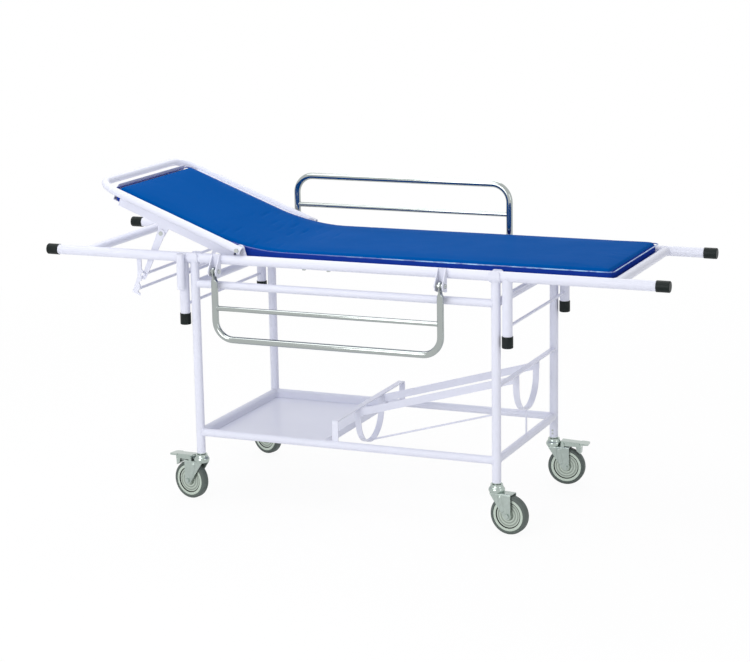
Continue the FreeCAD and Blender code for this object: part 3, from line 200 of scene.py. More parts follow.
def chrome_plate(colours):
    """Bright chrome over polished tube: a mirror with faint buffing marks that soften it a little."""
    material, tree, shader = start_finish(
        "chrome_plate", Metallic=1.0, Roughness=0.08, Base_Color=opaque(colours.chrome))
    place = add_node(tree, "ShaderNodeTexCoord").outputs["Object"]
    # Buffing marks are under 0.1 mm wide, drawn at 1 mm across and 20 mm long so that they show
    marks = add_node(
        tree, "ShaderNodeMapping", {"Vector": place, "Scale": (1 / 0.02, 1 / 0.001, 1 / 0.001)})
    buff = add_node(
        tree, "ShaderNodeTexNoise", {"Vector": marks.outputs["Vector"], "Scale": 1.0, "Detail": 3.0})
    haze = add_node(
        tree, "ShaderNodeMapRange",
        {"Value": buff.outputs["Fac"], "From Min": 0.3, "From Max": 0.7, "To Min": 0.05, "To Max": 0.12})
    tree.links.new(haze.outputs["Result"], shader.inputs["Roughness"])
    return material


CASTER_CROWN_Z = 0.131
CROWN_EDGE = 0.001
GROOVE_RADIUS = 0.04125


def zinc_plated_steel(colours):
    """Pressed steel with passivated zinc: satin plates, and a polished bearing race above them."""
    material, tree, shader = start_finish("zinc_plated_steel", Metallic=0.6, Roughness=0.34)
    place = add_node(tree, "ShaderNodeTexCoord").outputs["Object"]
    bloom = add_node(tree, "ShaderNodeTexNoise", {"Vector": place, "Scale": 1 / 0.012, "Detail": 5.0})
    tint = add_node(
        tree, "ShaderNodeMix",
        {0: bloom.outputs["Fac"], 6: opaque(colours.zinc), 7: opaque(c * 0.78 for c in colours.zinc)},
        data_type="RGBA")
    height = add_node(tree, "ShaderNodeSeparateXYZ", {"Vector": place}).outputs["Z"]
    past_crown = {
        "Value": height,
        "From Min": CASTER_CROWN_Z - CROWN_EDGE,
        "From Max": CASTER_CROWN_Z + CROWN_EDGE,
    }
    gloss = add_node(tree, "ShaderNodeMapRange", {**past_crown, "To Min": 0.3, "To Max": 0.12})
    metal = add_node(tree, "ShaderNodeMapRange", {**past_crown, "To Min": 0.6, "To Max": 1.0})
    grain = add_node(tree, "ShaderNodeTexNoise", {"Vector": place, "Scale": 1 / 0.0015, "Detail": 2.0})
    bump = add_node(
        tree, "ShaderNodeBump", {"Height": grain.outputs["Fac"], "Strength": 0.08, "Distance": 0.0003})
    tree.links.new(tint.outputs[2], shader.inputs["Base Color"])
    tree.links.new(gloss.outputs["Result"], shader.inputs["Roughness"])
    tree.links.new(metal.outputs["Result"], shader.inputs["Metallic"])
    tree.links.new(bump.outputs["Normal"], shader.inputs["Normal"])
    return material


def turned_disc(colours, corner):
    """Zinc-plated disc turned on a lathe: rings round the axle, painted shade in the groove, and a plain rim."""
    spin = JOINTS["spin_" + corner]
    material, tree, shader = start_finish("turned_disc_" + corner, Metallic=0.6, Roughness=0.38)
    place = add_node(tree, "ShaderNodeTexCoord").outputs["Object"]
    arm = add_node(tree, "ShaderNodeVectorMath", {0: place, 1: spin["pos_m"]}, operation="SUBTRACT")
    lever = add_node(
        tree, "ShaderNodeVectorMath", {0: arm.outputs[0], 1: spin["axis"]}, operation="CROSS_PRODUCT")
    radius = add_node(
        tree, "ShaderNodeVectorMath", {0: lever.outputs[0]}, operation="LENGTH").outputs["Value"]
    # Turning marks are 0.5 mm apart, drawn at 9 mm so that they show
    turns = add_node(tree, "ShaderNodeMath", {0: radius, 1: math.tau / 0.009}, operation="MULTIPLY")
    rings = add_node(tree, "ShaderNodeMath", {0: turns.outputs[0]}, operation="SINE")
    inside = add_node(
        tree, "ShaderNodeMapRange",
        {"Value": radius, "From Min": 0.038, "From Max": 0.04, "To Min": 0.5, "To Max": 0.0})
    marks = add_node(
        tree, "ShaderNodeMath", {0: rings.outputs[0], 1: inside.outputs["Result"]}, operation="MULTIPLY")
    shade = add_node(tree, "ShaderNodeMath", {0: marks.outputs[0], 1: 0.5}, operation="ADD")
    plate = add_node(
        tree, "ShaderNodeMix",
        {0: shade.outputs[0], 6: opaque(c * 0.5 for c in colours.wheel), 7: opaque(colours.wheel)},
        data_type="RGBA")
    # Painted shade: a ring about 3 mm wide round the groove is darkened almost to black, standing for the shade
    # inside the groove
    from_groove = add_node(tree, "ShaderNodeMath", {0: radius, 1: GROOVE_RADIUS}, operation="SUBTRACT")
    distance = add_node(tree, "ShaderNodeMath", {0: from_groove.outputs[0]}, operation="ABSOLUTE")
    groove_shade = add_node(
        tree, "ShaderNodeMapRange",
        {"Value": distance.outputs[0], "From Min": 0.0013, "From Max": 0.0018,
         "To Min": 1.0, "To Max": 0.0})
    beyond = add_node(tree, "ShaderNodeMath", {0: radius, 1: GROOVE_RADIUS}, operation="GREATER_THAN")
    rim = add_node(
        tree, "ShaderNodeMix",
        {0: beyond.outputs[0], 6: plate.outputs[2], 7: opaque(min(c * 1.05, 0.9) for c in colours.wheel)},
        data_type="RGBA")
    # The groove's painted shade, at 6 percent of the disc's colour, laid over the disc and rim
    tint = add_node(
        tree, "ShaderNodeMix",
        {0: groove_shade.outputs["Result"], 6: rim.outputs[2], 7: opaque(c * 0.06 for c in colours.wheel)},
        data_type="RGBA")
    bump = add_node(
        tree, "ShaderNodeBump", {"Height": marks.outputs[0], "Strength": 0.35, "Distance": 0.0004})
    tree.links.new(tint.outputs[2], shader.inputs["Base Color"])
    tree.links.new(bump.outputs["Normal"], shader.inputs["Normal"])
    return material


def moulded_rubber(name, colour, roughness):
    """Moulded rubber: matt, with a fine pebble from the mould and slightly dusty patches."""
    material, tree, shader = start_finish(name, Roughness=roughness, IOR=1.5, Specular_IOR_Level=0.15)
    place = add_node(tree, "ShaderNodeTexCoord").outputs["Object"]
    dust = add_node(tree, "ShaderNodeTexNoise", {"Vector": place, "Scale": 1 / 0.02, "Detail": 4.0})
    pale = [c * 0.85 + 0.02 for c in colour]
    tint = add_node(
        tree, "ShaderNodeMix",
        {0: dust.outputs["Fac"], 6: opaque(colour), 7: opaque(pale)}, data_type="RGBA")
    pebble = add_node(tree, "ShaderNodeTexNoise", {"Vector": place, "Scale": 1 / 0.0015, "Detail": 2.0})
    bump = add_node(
        tree, "ShaderNodeBump", {"Height": pebble.outputs["Fac"], "Strength": 0.3, "Distance": 0.0004})
    tree.links.new(tint.outputs[2], shader.inputs["Base Color"])
    tree.links.new(bump.outputs["Normal"], shader.inputs["Normal"])
    return material


def plated_bolt_steel(colours):
    """Bolt steel with passivated zinc: a pale grey metal, mottled by handling."""
    material, tree, shader = start_finish("plated_bolt_steel", Metallic=0.7, Roughness=0.3)
    place = add_node(tree, "ShaderNodeTexCoord").outputs["Object"]
    spots = add_node(tree, "ShaderNodeTexNoise", {"Vector": place, "Scale": 1 / 0.004, "Detail": 4.0})
    tint = add_node(
        tree, "ShaderNodeMix",
        {0: spots.outputs["Fac"], 6: opaque(colours.bolt), 7: opaque(c * 0.7 for c in colours.bolt)},
        data_type="RGBA")
    tree.links.new(tint.outputs[2], shader.inputs["Base Color"])
    return material


def coated_cloth(name, colour):
    """Vinyl-coated polyester: deep blue and nearly without shine, with pressed grain and slow waves."""
    # The specular level is close to zero, because the white surroundings would turn the top pale
    material, tree, shader = start_finish(name, Roughness=0.4, IOR=1.45, Specular_IOR_Level=0.002)
    place = add_node(tree, "ShaderNodeTexCoord").outputs["Object"]
    cloud = add_node(tree, "ShaderNodeTexNoise", {"Vector": place, "Scale": 1 / 0.22, "Detail": 3.0})
    tint = add_node(
        tree, "ShaderNodeMix",
        {0: cloud.outputs["Fac"], 6: opaque(colour), 7: opaque(c * 0.86 for c in colour)}, data_type="RGBA")
    gloss = add_node(
        tree, "ShaderNodeMapRange",
        {"Value": cloud.outputs["Fac"], "From Min": 0.3, "From Max": 0.7, "To Min": 0.36, "To Max": 0.42})
    # The pressed grain is about 0.7 mm, drawn at 2 mm so that it shows
    grain = add_node(tree, "ShaderNodeTexVoronoi", {"Vector": place, "Scale": 1 / 0.002})
    fine = add_node(
        tree, "ShaderNodeBump", {"Height": grain.outputs["Distance"], "Strength": 0.06, "Distance": 0.0003})
    waves = add_node(tree, "ShaderNodeTexNoise", {"Vector": place, "Scale": 1 / 0.07, "Detail": 1.0})
    slow = add_node(
        tree, "ShaderNodeBump",
        {"Height": waves.outputs["Fac"], "Strength": 0.2, "Distance": 0.003,
         "Normal": fine.outputs["Normal"]})
    tree.links.new(tint.outputs[2], shader.inputs["Base Color"])
    tree.links.new(gloss.outputs["Result"], shader.inputs["Roughness"])
    tree.links.new(slow.outputs["Normal"], shader.inputs["Normal"])
    return material


def sealed_seam(colours):
    """Heat-sealed seam: melted coating, with a paler broken colour towards the foot end.

    The paler colour stands for glints in the photograph. It is painted, so it shows from every side.
    """
    material, tree, shader = start_finish(
        "sealed_seam", Roughness=0.18, IOR=1.5, Coat_Weight=0.6, Coat_Roughness=0.1)
    place = add_node(tree, "ShaderNodeTexCoord").outputs["Object"]
    along = add_node(tree, "ShaderNodeSeparateXYZ", {"Vector": place}).outputs["X"]
    towards_foot = add_node(
        tree, "ShaderNodeMapRange",
        {"Value": along, "From Min": -0.1, "From Max": 0.35, "To Min": 0.0, "To Max": 1.0})
    patches = add_node(tree, "ShaderNodeTexNoise", {"Vector": place, "Scale": 1 / 0.045, "Detail": 3.0})
    broken = add_node(
        tree, "ShaderNodeMapRange",
        {"Value": patches.outputs["Fac"], "From Min": 0.4, "From Max": 0.62, "To Min": 0.1, "To Max": 1.0})
    glints = add_node(
        tree, "ShaderNodeMath", {0: towards_foot.outputs[0], 1: broken.outputs[0]}, operation="MULTIPLY")
    tint = add_node(
        tree, "ShaderNodeMix",
        {0: glints.outputs[0], 6: opaque(colours.boxing), 7: opaque(colours.glint)}, data_type="RGBA")
    tree.links.new(tint.outputs[2], shader.inputs["Base Color"])
    return material


# ---------------------------------------------------------------- making helpers

def deselect_all():
    """Leaves nothing selected, so that the next operator acts on its own piece alone."""
    for obj in list(bpy.context.selected_objects):
        obj.select_set(False)


def only(obj):
    """Makes one object the selected and active one."""
    deselect_all()
    obj.select_set(True)
    bpy.context.view_layer.objects.active = obj


def apply_modifiers(obj):
    """Applies every modifier of an object."""
    only(obj)
    for modifier in list(obj.modifiers):
        bpy.ops.object.modifier_apply(modifier=modifier.name)


def settle(obj):
    """Puts an object's place into its mesh."""
    only(obj)
    bpy.ops.object.transform_apply(location=True, rotation=True, scale=True)


def joined(pieces, name):
    """Joins objects to one piece."""
    deselect_all()
    for piece in pieces:
        piece.select_set(True)
    bpy.context.view_layer.objects.active = pieces[0]
    bpy.ops.object.join()
    whole = bpy.context.active_object
    whole.name = name
    whole.data.name = name
    return whole


def set_finish(obj, material):
    """Gives an object one material."""
    obj.data.materials.clear()
    obj.data.materials.append(material)


# ---------------------------------------------------------------- mattress

COVER_VOXEL = 0.009
COVER_PRESSURE = 4
SWELL_STEPS = 20
PUCKER_BAND = 0.008
PUCKER_REACH = 0.02
PUCKER_WAVES = (
    # wave length, phase
    (0.031, 0.4), (0.047, 1.9), (0.0193, 2.7),
)
CREASE_PLACE = 0.03
CREASE_REACH = 0.16
CREASES = (
    # wave length, slant across the mattress, phase
    (0.043, 0.28, 0.3), (0.067, -0.17, 1.1), (0.031, 0.12, 2.0),
)
WELT_CUTS = 60


def pad_sizes():
    """Lowest and highest corner of the flat part, and the lengths each side of the bend."""
    low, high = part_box("seat_mattress")
    hinge = Vector(JOINTS["backrest_tilt"]["pos_m"])
    sine, cosine = math.sin(BACKREST_ANGLE), math.cos(BACKREST_ANGLE)
    foot_of_back = hinge + BACKREST_PAD_BOTTOM * Vector((sine, 0, cosine))
    overrun = (foot_of_back.z - low.z) / sine
    corner = Vector((foot_of_back.x + overrun * cosine, 0, low.z))
    radius = BEND_TANGENT / math.tan(BACKREST_ANGLE / 2)
    half_arc = radius * BACKREST_ANGLE / 2
    to_foot = high.x - corner.x - BEND_TANGENT + half_arc
    to_head = BACKREST_PAD_LENGTH + overrun - BEND_TANGENT + half_arc
    return corner, radius, half_arc, to_foot, to_head, high.y, high.z - low.z


def bent(point, corner, radius, half_arc):
    """Where a point of the flat mattress goes once it is bent up at the hinge."""
    along, across, up = point
    thicker = BACKREST_PAD_THICKNESS / SEAT_THICKNESS - 1
    up *= 1 + thicker * min(max((half_arc - along) / (2 * half_arc), 0), 1)
    if along >= half_arc:
        return Vector((corner.x + BEND_TANGENT + along - half_arc, across, corner.z + up))
    turn = min((half_arc - along) / radius, BACKREST_ANGLE)
    beyond = max(-along - half_arc, 0)
    reach = radius - up
    return Vector((
        corner.x + BEND_TANGENT - reach * math.sin(turn) - beyond * math.cos(BACKREST_ANGLE),
        across,
        corner.z + radius - reach * math.cos(turn) + beyond * math.sin(BACKREST_ANGLE),
    ))


def cut_block(to_foot, to_head, half_width, thickness, sizes):
    """The foam block, laid flat, a little smaller than the swollen cover."""
    swell = sizes.swell
    length = to_foot + to_head - 2 * swell
    deselect_all()
    bpy.ops.mesh.primitive_cube_add(
        size=1,
        location=((to_foot - to_head) / 2, 0, (thickness - swell) / 2),
        scale=(length, 2 * (half_width - swell), thickness - swell),
    )
    block = bpy.context.active_object
    settle(block)
    bpy.ops.object.mode_set(mode="EDIT")
    bpy.ops.mesh.select_all(action="SELECT")
    bpy.ops.mesh.bevel(offset=sizes.corner_round, segments=4)
    bpy.ops.object.mode_set(mode="OBJECT")
    return block


def swell_cover(block, cap):
    """Lets a tight cover swell over the block by cloth simulation, no further than the cap."""
    remesh = block.modifiers.new("cover", "REMESH")
    remesh.mode = "VOXEL"
    remesh.voxel_size = COVER_VOXEL
    apply_modifiers(block)
    before = [v.co.copy() for v in block.data.vertices]
    cloth = block.modifiers.new("swell", "CLOTH")
    cloth.settings.use_pressure = True
    cloth.settings.uniform_pressure_force = COVER_PRESSURE
    cloth.settings.effector_weights.gravity = 0
    cloth.point_cache.frame_start = 1
    cloth.point_cache.frame_end = SWELL_STEPS
    for step in range(1, SWELL_STEPS + 1):
        bpy.context.scene.frame_set(step)
    apply_modifiers(block)
    bpy.context.scene.frame_set(1)
    for vertex, start in zip(block.data.vertices, before):
        move = vertex.co - start
        if move.length > cap:
            move *= cap / move.length
        vertex.co = start + move
        vertex.co.z = max(vertex.co.z, 0.0)


def gathers(along):
    """Uneven small puckers along a seam, from 0 to 1."""
    total = 0.0
    for wave, phase in PUCKER_WAVES:
        total += math.sin(math.tau * along / wave + phase)
    return max(total / len(PUCKER_WAVES), 0) ** 2


def gather_edges(block, to_foot, to_head, half_width, thickness, sizes):
    """Draws the cover in where the seam runs round the sides."""
    seam_z = thickness - sizes.seam_drop
    for vertex in block.data.vertices:
        along, across, up = vertex.co
        near = math.exp(-((up - seam_z) / PUCKER_BAND) ** 2)
        edge = min(half_width - abs(across), to_foot - along, along + to_head)
        if edge > PUCKER_REACH or near < 0.02:
            continue
        pull = sizes.pucker * near * (0.5 + gathers(along + across))
        if half_width - abs(across) < PUCKER_REACH:
            vertex.co.y -= math.copysign(pull, across)
        else:
            vertex.co.x -= math.copysign(pull, along)


def crease_bend(block, thickness, depth):
    """Shallow creases across the top where the mattress bends, and a few further down the seat."""
    for vertex in block.data.vertices:
        along, across, up = vertex.co
        if up < thickness / 2:
            continue
        near = math.exp(-((along - CREASE_PLACE) / CREASE_REACH) ** 2)
        ridge = 0.0
        for wave, slant, phase in CREASES:
            ridge += math.sin(math.tau * (along + slant * across) / wave + phase)
        swing = 0.5 + 0.5 * math.sin(math.tau * across / 0.31 + 7 * along)
        vertex.co.z -= depth * near * swing * max(ridge / len(CREASES), 0) ** 2


def bend_over_hinge(obj, measures):
    """Bends a flat piece up over the backrest's hinge."""
    corner, radius, half_arc = measures[:3]
    for vertex in obj.data.vertices:
        vertex.co = bent(vertex.co, corner, radius, half_arc)
    obj.data.update()
    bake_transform(obj)


def seam_welt(to_foot, to_head, half_width, thickness, sizes):
    """Rolled seam round the mattress, below its top edge, laid flat."""
    deselect_all()
    bpy.ops.mesh.primitive_plane_add(
        size=1, location=((to_foot - to_head) / 2, 0, thickness - sizes.seam_drop))
    loop = bpy.context.active_object
    inset = sizes.pucker * 0.5
    loop.scale = (to_foot + to_head - 2 * inset, 2 * (half_width - inset), 1)
    settle(loop)
    bpy.ops.object.mode_set(mode="EDIT")
    bpy.ops.mesh.select_all(action="SELECT")
    bpy.ops.mesh.bevel(offset=sizes.corner_round * 1.3, segments=6, affect="VERTICES")
    bpy.ops.mesh.select_all(action="SELECT")
    bpy.ops.mesh.delete(type="ONLY_FACE")
    bpy.ops.mesh.select_all(action="SELECT")
    bpy.ops.mesh.subdivide(number_cuts=WELT_CUTS)
    bpy.ops.object.mode_set(mode="OBJECT")
    bpy.ops.object.convert(target="CURVE")
    curve = bpy.context.active_object
    curve.data.bevel_depth = sizes.welt_radius
    curve.data.bevel_resolution = 1
    bpy.ops.object.convert(target="MESH")
    return bpy.context.active_object


class COT_OT_mattress(bpy.types.Operator):
    """Foam mattress in coated cloth, in one piece from the head of the backrest to the foot"""
    bl_idname = "cot.mattress"
    bl_label = "Mattress"

    def execute(self, context):
        sizes, colours = context.scene.cot_sizes, context.scene.cot_colours
        measures = pad_sizes()
        extent = measures[3:]
        mattress = cut_block(*extent, sizes)
        mattress.name = mattress.data.name = "mattress"
        swell_cover(mattress, sizes.swell)
        smooth = mattress.modifiers.new("smooth", "SUBSURF")
        smooth.levels = smooth.render_levels = 1
        apply_modifiers(mattress)
        gather_edges(mattress, *extent, sizes)
        crease_bend(mattress, extent[3], sizes.crease)
        paint_mattress(mattress, measures, sizes, colours)
        bpy.ops.object.shade_smooth()
        bend_over_hinge(mattress, measures)
        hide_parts("seat_mattress", "backrest_mattress")
        welt = seam_welt(*extent, sizes)
        welt.name = welt.data.name = "mattress_welt"
        set_finish(welt, sealed_seam(colours))
        only(welt)
        bpy.ops.object.shade_smooth()
        bend_over_hinge(welt, measures)
        return {"FINISHED"}


def paint_mattress(mattress, measures, sizes, colours):
    """The top in one cloth; the sides and the bottom, everything below the seam, in the deeper one."""
    thickness = measures[6]
    mattress.data.materials.clear()
    mattress.data.materials.append(coated_cloth("coated_cloth_top", tuple(colours.cloth)))
    mattress.data.materials.append(coated_cloth("coated_cloth_sides", tuple(colours.boxing)))
    seam_z = thickness - sizes.seam_drop
    for face in mattress.data.polygons:
        face.material_index = int(face.center.z < seam_z)


# ---------------------------------------------------------------- finishes of the frame

class COT_OT_finishes(bpy.types.Operator):
    """Powder coat, chrome, zinc, rubber and bolt steel on the parts of the frame"""
    bl_idname = "cot.finishes"
    bl_label = "Finishes"

    def execute(self, context):
        colours = context.scene.cot_colours
        finish = {
            "frame_paint": powder_coated_steel(colours),
            "chrome": chrome_plate(colours),
            "zinc": zinc_plated_steel(colours),
            "tread": moulded_rubber("grey_tread_rubber", tuple(colours.tread), 0.5),
            "black_rubber": moulded_rubber("black_cap_rubber", tuple(colours.rubber), 0.42),
            "steel_bolt": plated_bolt_steel(colours),
        }
        for node, slot in SLOT_OF_NODE.items():
            obj = frame["nodes"][node]
            if slot == "wheel_zinc":
                material = turned_disc(colours, node.removeprefix("wheel_core_"))
            elif slot in finish:
                material = finish[slot]
            else:
                continue
            for place in obj.material_slots:
                place.material = material
        return {"FINISHED"}


# ---------------------------------------------------------------- welds

def round_tube(node, axis):
    """Lowest and highest corner, centre and radius of a straight tube or a row of tubes along an axis."""
    low, high = (Vector(corner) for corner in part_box(node))
    centre = (low + high) / 2
    across = 2 if axis != 2 else 0
    return low, high, centre, (high[across] - low[across]) / 2


RING_START = 0.009
RING_VERTICES = 36
# A leg is as wide as its longeron, so its bead is slightly narrower to land on the skin
LEG_BEAD_SHARE = 0.985


def weld_bead(centre, along, radius, target, thickness):
    """Bead round a tube's end: a ring dropped on to the other tube's skin and given a round section."""
    deselect_all()
    turn = Vector(along).to_track_quat("Z", "Y").to_euler()
    bpy.ops.mesh.primitive_circle_add(vertices=RING_VERTICES, radius=radius, location=centre, rotation=turn)
    ring = bpy.context.active_object
    lay = ring.modifiers.new("lay", "SHRINKWRAP")
    lay.target = frame["nodes"][target]
    lay.wrap_method = "PROJECT"
    lay.use_project_z = True
    lay.use_positive_direction = True
    lay.use_negative_direction = True
    apply_modifiers(ring)
    bpy.ops.object.convert(target="CURVE")
    bead = bpy.context.active_object
    bead.data.bevel_depth = thickness
    bead.data.bevel_resolution = 1
    bpy.ops.object.convert(target="MESH")
    bead = bpy.context.active_object
    settle(bead)
    return bead


def trolley_joints():
    """Where rails and cross tubes meet the posts, and posts meet their saddles."""
    joints = []
    for end, inward_x in (("head", 1), ("foot", -1)):
        for side, inward_y in (("right", 1), ("left", -1)):
            post = "post_" + end + "_" + side
            _, _, centre, post_radius = round_tube(post, 2)
            out = post_radius + RING_START
            for level in ("upper", "lower"):
                _, _, rail_centre, rail_radius = round_tube(level + "_rail_" + side, 0)
                place = (centre.x + inward_x * out, centre.y, rail_centre.z)
                joints.append((place, (1, 0, 0), rail_radius, post))
                place = (centre.x, centre.y + inward_y * out, rail_centre.z)
                joints.append((place, (0, 1, 0), rail_radius, post))
            place = (centre.x, centre.y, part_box("saddles")[0][2] - RING_START)
            joints.append((place, (0, 0, 1), post_radius, "saddles"))
    return joints


def stretcher_joints():
    """Where legs and cross tubes meet the longerons."""
    joints = []
    for side, inward_y in (("right", 1), ("left", -1)):
        longeron = "longeron_" + side
        low, _, centre, radius = round_tube(longeron, 0)
        for legs in ("legs_head", "legs_foot"):
            _, _, leg_centre, leg_radius = round_tube(legs, 2)
            place = (leg_centre.x, centre.y, low.z - RING_START)
            joints.append((place, (0, 0, 1), LEG_BEAD_SHARE * leg_radius, longeron))
        tube_low, tube_high, tube_centre, tube_radius = round_tube("end_cross_tubes", 1)
        for x in (tube_low.x + tube_radius, tube_high.x - tube_radius):
            place = (x, centre.y + inward_y * (radius + RING_START), tube_centre.z)
            joints.append((place, (0, 1, 0), tube_radius, longeron))
    return joints


def side_rail_joints(side):
    """Where the middle bar of a side rail meets its two arms."""
    bar_low, bar_high, bar_centre, bar_radius = round_tube("rail_" + side + "_bar", 0)
    frame_node = "rail_" + side + "_frame"
    places = (bar_low.x + RING_START, bar_high.x - RING_START)
    return [((x, bar_centre.y, bar_centre.z), (1, 0, 0), bar_radius, frame_node) for x in places]


WELDED = (
    # piece, body, joints, slot, finish, share of the full bead
    ("trolley_welds", "trolley", trolley_joints, "frame_paint", "powder_coated_steel", 1.0),
    ("stretcher_welds", "stretcher", stretcher_joints, "frame_paint", "powder_coated_steel", 1.0),
    ("rail_right_welds", "rail_right", lambda: side_rail_joints("right"), "chrome", "chrome_plate", 0.6),
    ("rail_left_welds", "rail_left", lambda: side_rail_joints("left"), "chrome", "chrome_plate", 0.6),
)


class COT_OT_welds(bpy.types.Operator):
    """Weld beads where the tubes meet"""
    bl_idname = "cot.welds"
    bl_label = "Welds"

    def execute(self, context):
        full = context.scene.cot_sizes.weld_radius
        for name, body, joints, slot, finish, share in WELDED:
            beads = [weld_bead(*joint, full * share) for joint in joints()]
            welds = joined(beads, name)
            bpy.ops.object.shade_smooth()
            set_finish(welds, bpy.data.materials[finish])
            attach(welds, body)
        return {"FINISHED"}


# ---------------------------------------------------------------- small fasteners

def socket_screw(radius):
    """Socket set screw that stands a little proud, with its recess, facing along +Z."""
    deselect_all()
    bpy.ops.mesh.primitive_cylinder_add(vertices=24, radius=radius, depth=radius)
    screw = bpy.context.active_object
    select_top(screw)
    bpy.ops.mesh.bevel(offset=radius * 0.15, segments=2)
    select_top(screw)
    bpy.ops.mesh.inset(thickness=radius * 0.4)
    bpy.ops.mesh.extrude_region_move(TRANSFORM_OT_translate={"value": (0, 0, -radius * 0.6)})
    bpy.ops.object.mode_set(mode="OBJECT")
    return screw


def hex_screw(radius):
    """Hexagon head with a rounded rim, facing along +Z."""
    deselect_all()
    bpy.ops.mesh.primitive_cylinder_add(vertices=6, radius=radius, depth=radius)
    screw = bpy.context.active_object
    bpy.ops.object.mode_set(mode="EDIT")
    bpy.ops.mesh.select_all(action="SELECT")
    bpy.ops.mesh.bevel(offset=radius * 0.08, segments=2)
    bpy.ops.object.mode_set(mode="OBJECT")
    return screw


def select_top(obj):
    """Enters edit mode with the highest flat face selected."""
    bpy.ops.object.mode_set(mode="OBJECT")
    highest = max(face.center.z for face in obj.data.polygons)
    for face in obj.data.polygons:
        face.select = face.center.z > highest - 1e-6
    bpy.ops.object.mode_set(mode="EDIT")


def copies(model, places, name):
    """One piece from copies of a model, each put at a point and turned to face a direction."""
    pieces = []
    for point, facing in places:
        piece = model.copy()
        piece.data = model.data.copy()
        bpy.context.scene.collection.objects.link(piece)
        turn = Vector(facing).to_track_quat("Z", "Y").to_matrix().to_4x4()
        piece.data.transform(Matrix.Translation(point) @ turn)
        pieces.append(piece)
    bpy.data.objects.remove(model)
    return joined(pieces, name)


STEM_SCREW_RISES = (0.0137, 0.025)
STEM_SCREW_RADIUS = 0.0032
LONGERON_SCREW_XS = (-0.127, -0.042)
LONGERON_SCREW_RADIUS = 0.0065


class COT_OT_fasteners(bpy.types.Operator):
    """Set screws that hold the caster stems, and the screws of the bed panel's bars"""
    bl_idname = "cot.fasteners"
    bl_label = "Fasteners"

    def execute(self, context):
        stems = []
        for post in ("post_head_right", "post_head_left", "post_foot_right", "post_foot_left"):
            low, _, centre, radius = round_tube(post, 2)
            inward = -math.copysign(1, centre.y)
            for rise in STEM_SCREW_RISES:
                stems.append(((centre.x, centre.y + inward * radius, low.z + rise), (0, inward, 0)))
        bars = []
        for longeron in ("longeron_right", "longeron_left"):
            low, _, centre, _ = round_tube(longeron, 0)
            for x in LONGERON_SCREW_XS:
                bars.append(((x, centre.y, low.z), (0, 0, -1)))
        for name, body, model, places in (
            ("stem_screws", "trolley", socket_screw(STEM_SCREW_RADIUS), stems),
            ("longeron_screws", "stretcher", hex_screw(LONGERON_SCREW_RADIUS), bars),
        ):
            screws = copies(model, places, name)
            bpy.ops.object.shade_smooth_by_angle(angle=math.radians(40))
            set_finish(screws, bpy.data.materials["plated_bolt_steel"])
            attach(screws, body)
        return {"FINISHED"}


# ---------------------------------------------------------------- stage

def sees_background(tree):
    """1 for camera, glossy and transmission rays, so that metal and glass show the white too."""
    rays = add_node(tree, "ShaderNodeLightPath")
    direct = add_node(
        tree, "ShaderNodeMath",
        {0: rays.outputs["Is Camera Ray"], 1: rays.outputs["Is Glossy Ray"]}, operation="MAXIMUM")
    every = add_node(
        tree, "ShaderNodeMath",
        {0: direct.outputs[0], 1: rays.outputs["Is Transmission Ray"]}, operation="MAXIMUM")
    return every.outputs[0]


FLOOR_SIZE = 120
FLOOR_WHITENESS = 0.93
# The floor rises to full white between these distances from the middle
SHADOW_END = 1.5
WHITE_START = 4.0


def add_floor():
    """Pale floor that keeps a soft shadow and runs on to a white background."""
    deselect_all()
    bpy.ops.mesh.primitive_plane_add(size=FLOOR_SIZE, location=(0, 0, 0))
    floor = bpy.context.active_object
    floor.name = "studio_floor"
    material, tree, shader = start_finish(
        "pale_floor_vinyl", Roughness=0.9, Base_Color=opaque(linear("#F4F4F6")))
    seen = sees_background(tree)
    place = add_node(tree, "ShaderNodeTexCoord").outputs["Object"]
    distance = add_node(tree, "ShaderNodeVectorMath", {0: place}, operation="LENGTH").outputs["Value"]
    whiter = add_node(
        tree, "ShaderNodeMapRange",
        {"Value": distance, "From Min": SHADOW_END, "From Max": WHITE_START,
         "To Min": FLOOR_WHITENESS, "To Max": 1.0})
    share = add_node(
        tree, "ShaderNodeMath", {0: seen, 1: whiter.outputs["Result"]}, operation="MULTIPLY")
    white = add_node(tree, "ShaderNodeEmission", {"Color": (1, 1, 1, 1), "Strength": 1.0})
    mixed = add_node(
        tree, "ShaderNodeMixShader",
        {0: share.outputs[0], 1: shader.outputs["BSDF"], 2: white.outputs["Emission"]})
    tree.links.new(mixed.outputs[0], tree.nodes["Material Output"].inputs["Surface"])
    set_finish(floor, material)


WORLD_LEVEL = 0.58


def add_world():
    """White of strength 1 to camera, glossy and transmission rays, and an even light for the rest."""
    world = bpy.data.worlds.new("studio")
    bpy.context.scene.world = world
    world.use_nodes = True
    tree = world.node_tree
    light = tree.nodes["Background"]
    light.inputs["Color"].default_value = (1, 1, 1, 1)
    light.inputs["Strength"].default_value = WORLD_LEVEL
    white = add_node(tree, "ShaderNodeBackground", {"Color": (1, 1, 1, 1), "Strength": 1.0})
    mixed = add_node(
        tree, "ShaderNodeMixShader", {0: sees_background(tree), 1: light.outputs[0], 2: white.outputs[0]})
    tree.links.new(mixed.outputs[0], tree.nodes["World Output"].inputs["Surface"])


LAMPS = (
    # name, place, aimed at, width, height, watts
    ("overhead_softbox", (-0.9, -0.6, 3.4), (0.1, 0, 0.6), 3.2, 2.0, 42),
    ("front_softbox", (-0.6, -5.2, 2.2), (0, 0, 0.6), 3.0, 2.2, 96),
    ("foot_softbox", (4.6, -1.2, 2.0), (0, 0, 0.6), 1.6, 2.0, 14),
    ("rear_softbox", (-0.8, 3.6, 4.4), (0, 0, 0.6), 3.0, 2.0, 60),
)


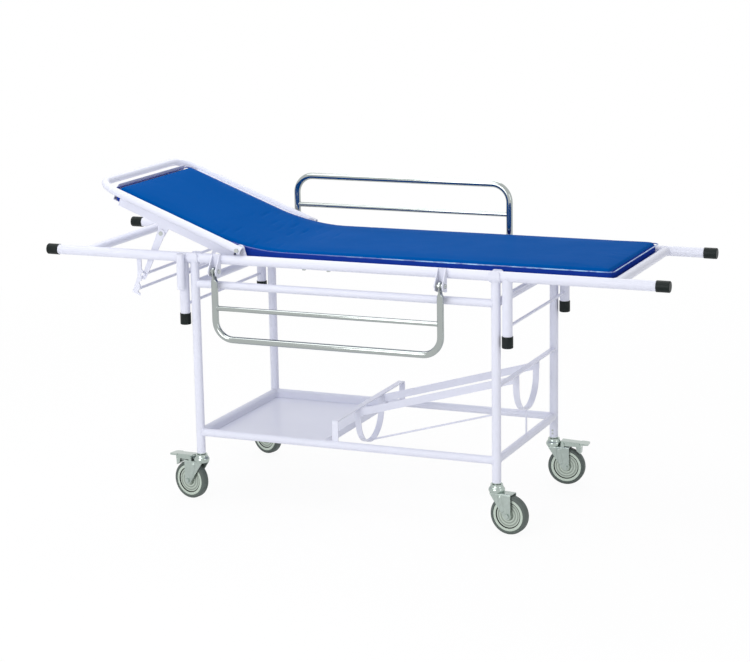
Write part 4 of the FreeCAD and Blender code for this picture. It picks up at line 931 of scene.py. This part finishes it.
def add_lamp(name, place, target, width, height, watts):
    """A soft rectangular lamp that points at a place."""
    lamp = bpy.data.lights.new(name, "AREA")
    lamp.shape = "RECTANGLE"
    lamp.size, lamp.size_y, lamp.energy = width, height, watts
    holder = bpy.data.objects.new(name, lamp)
    bpy.context.scene.collection.objects.link(holder)
    holder.location = place
    holder.rotation_euler = (Vector(target) - Vector(place)).to_track_quat("-Z", "Y").to_euler()


CAMERA_PLACE = (2.64497, -6.25362, 2.04605)
CAMERA_RIGHT = (0.92190896, 0.38703913, -0.01686925)
CAMERA_UP = (-0.06835856, 0.20537895, 0.97629227)
CAMERA_BACK = (0.3813279, -0.89889944, 0.21579814)
CAMERA_LENS_MM = 101.73


def add_camera():
    """Camera at standing height, beyond the foot end on the patient's right."""
    data = bpy.data.cameras.new("camera")
    data.lens = CAMERA_LENS_MM
    data.sensor_width = 36
    data.sensor_fit = "HORIZONTAL"
    data.clip_end = 200
    camera = bpy.data.objects.new("camera", data)
    bpy.context.scene.collection.objects.link(camera)
    turn = Matrix((CAMERA_RIGHT, CAMERA_UP, CAMERA_BACK)).transposed().to_4x4()
    camera.matrix_world = Matrix.Translation(CAMERA_PLACE) @ turn
    bpy.context.scene.camera = camera


class COT_OT_stage(bpy.types.Operator):
    """Pale floor, soft lamps, white background and camera"""
    bl_idname = "cot.stage"
    bl_label = "Stage"

    def execute(self, context):
        add_floor()
        add_world()
        for lamp in LAMPS:
            add_lamp(*lamp)
        add_camera()
        context.scene.view_settings.view_transform = "Standard"
        return {"FINISHED"}


# ---------------------------------------------------------------- panel and registration

class COT_PT_sidebar(bpy.types.Panel):
    """Lists the cot's operators and settings"""
    bl_idname = "COT_PT_sidebar"
    bl_label = "Ambulance Cot"
    bl_space_type = "VIEW_3D"
    bl_region_type = "UI"
    bl_category = "Cot"

    def draw(self, context):
        for settings in (context.scene.cot_sizes, context.scene.cot_colours):
            for name in settings.__annotations__:
                self.layout.prop(settings, name)
        for operator in OPERATORS:
            self.layout.operator(operator.bl_idname)


OPERATORS = (COT_OT_finishes, COT_OT_mattress, COT_OT_welds, COT_OT_fasteners, COT_OT_stage)
CLASSES = (CotSizes, CotColours, *OPERATORS, COT_PT_sidebar)


def register():
    for cls in CLASSES:
        bpy.utils.register_class(cls)
    bpy.types.Scene.cot_sizes = PointerProperty(type=CotSizes)
    bpy.types.Scene.cot_colours = PointerProperty(type=CotColours)


def unregister():
    del bpy.types.Scene.cot_colours
    del bpy.types.Scene.cot_sizes
    for cls in reversed(CLASSES):
        bpy.utils.unregister_class(cls)


def main():
    register()
    bpy.ops.cot.finishes()
    bpy.ops.cot.mattress()
    bpy.ops.cot.welds()
    bpy.ops.cot.fasteners()
    bpy.ops.cot.stage()


if __name__ == "__main__":
    main()
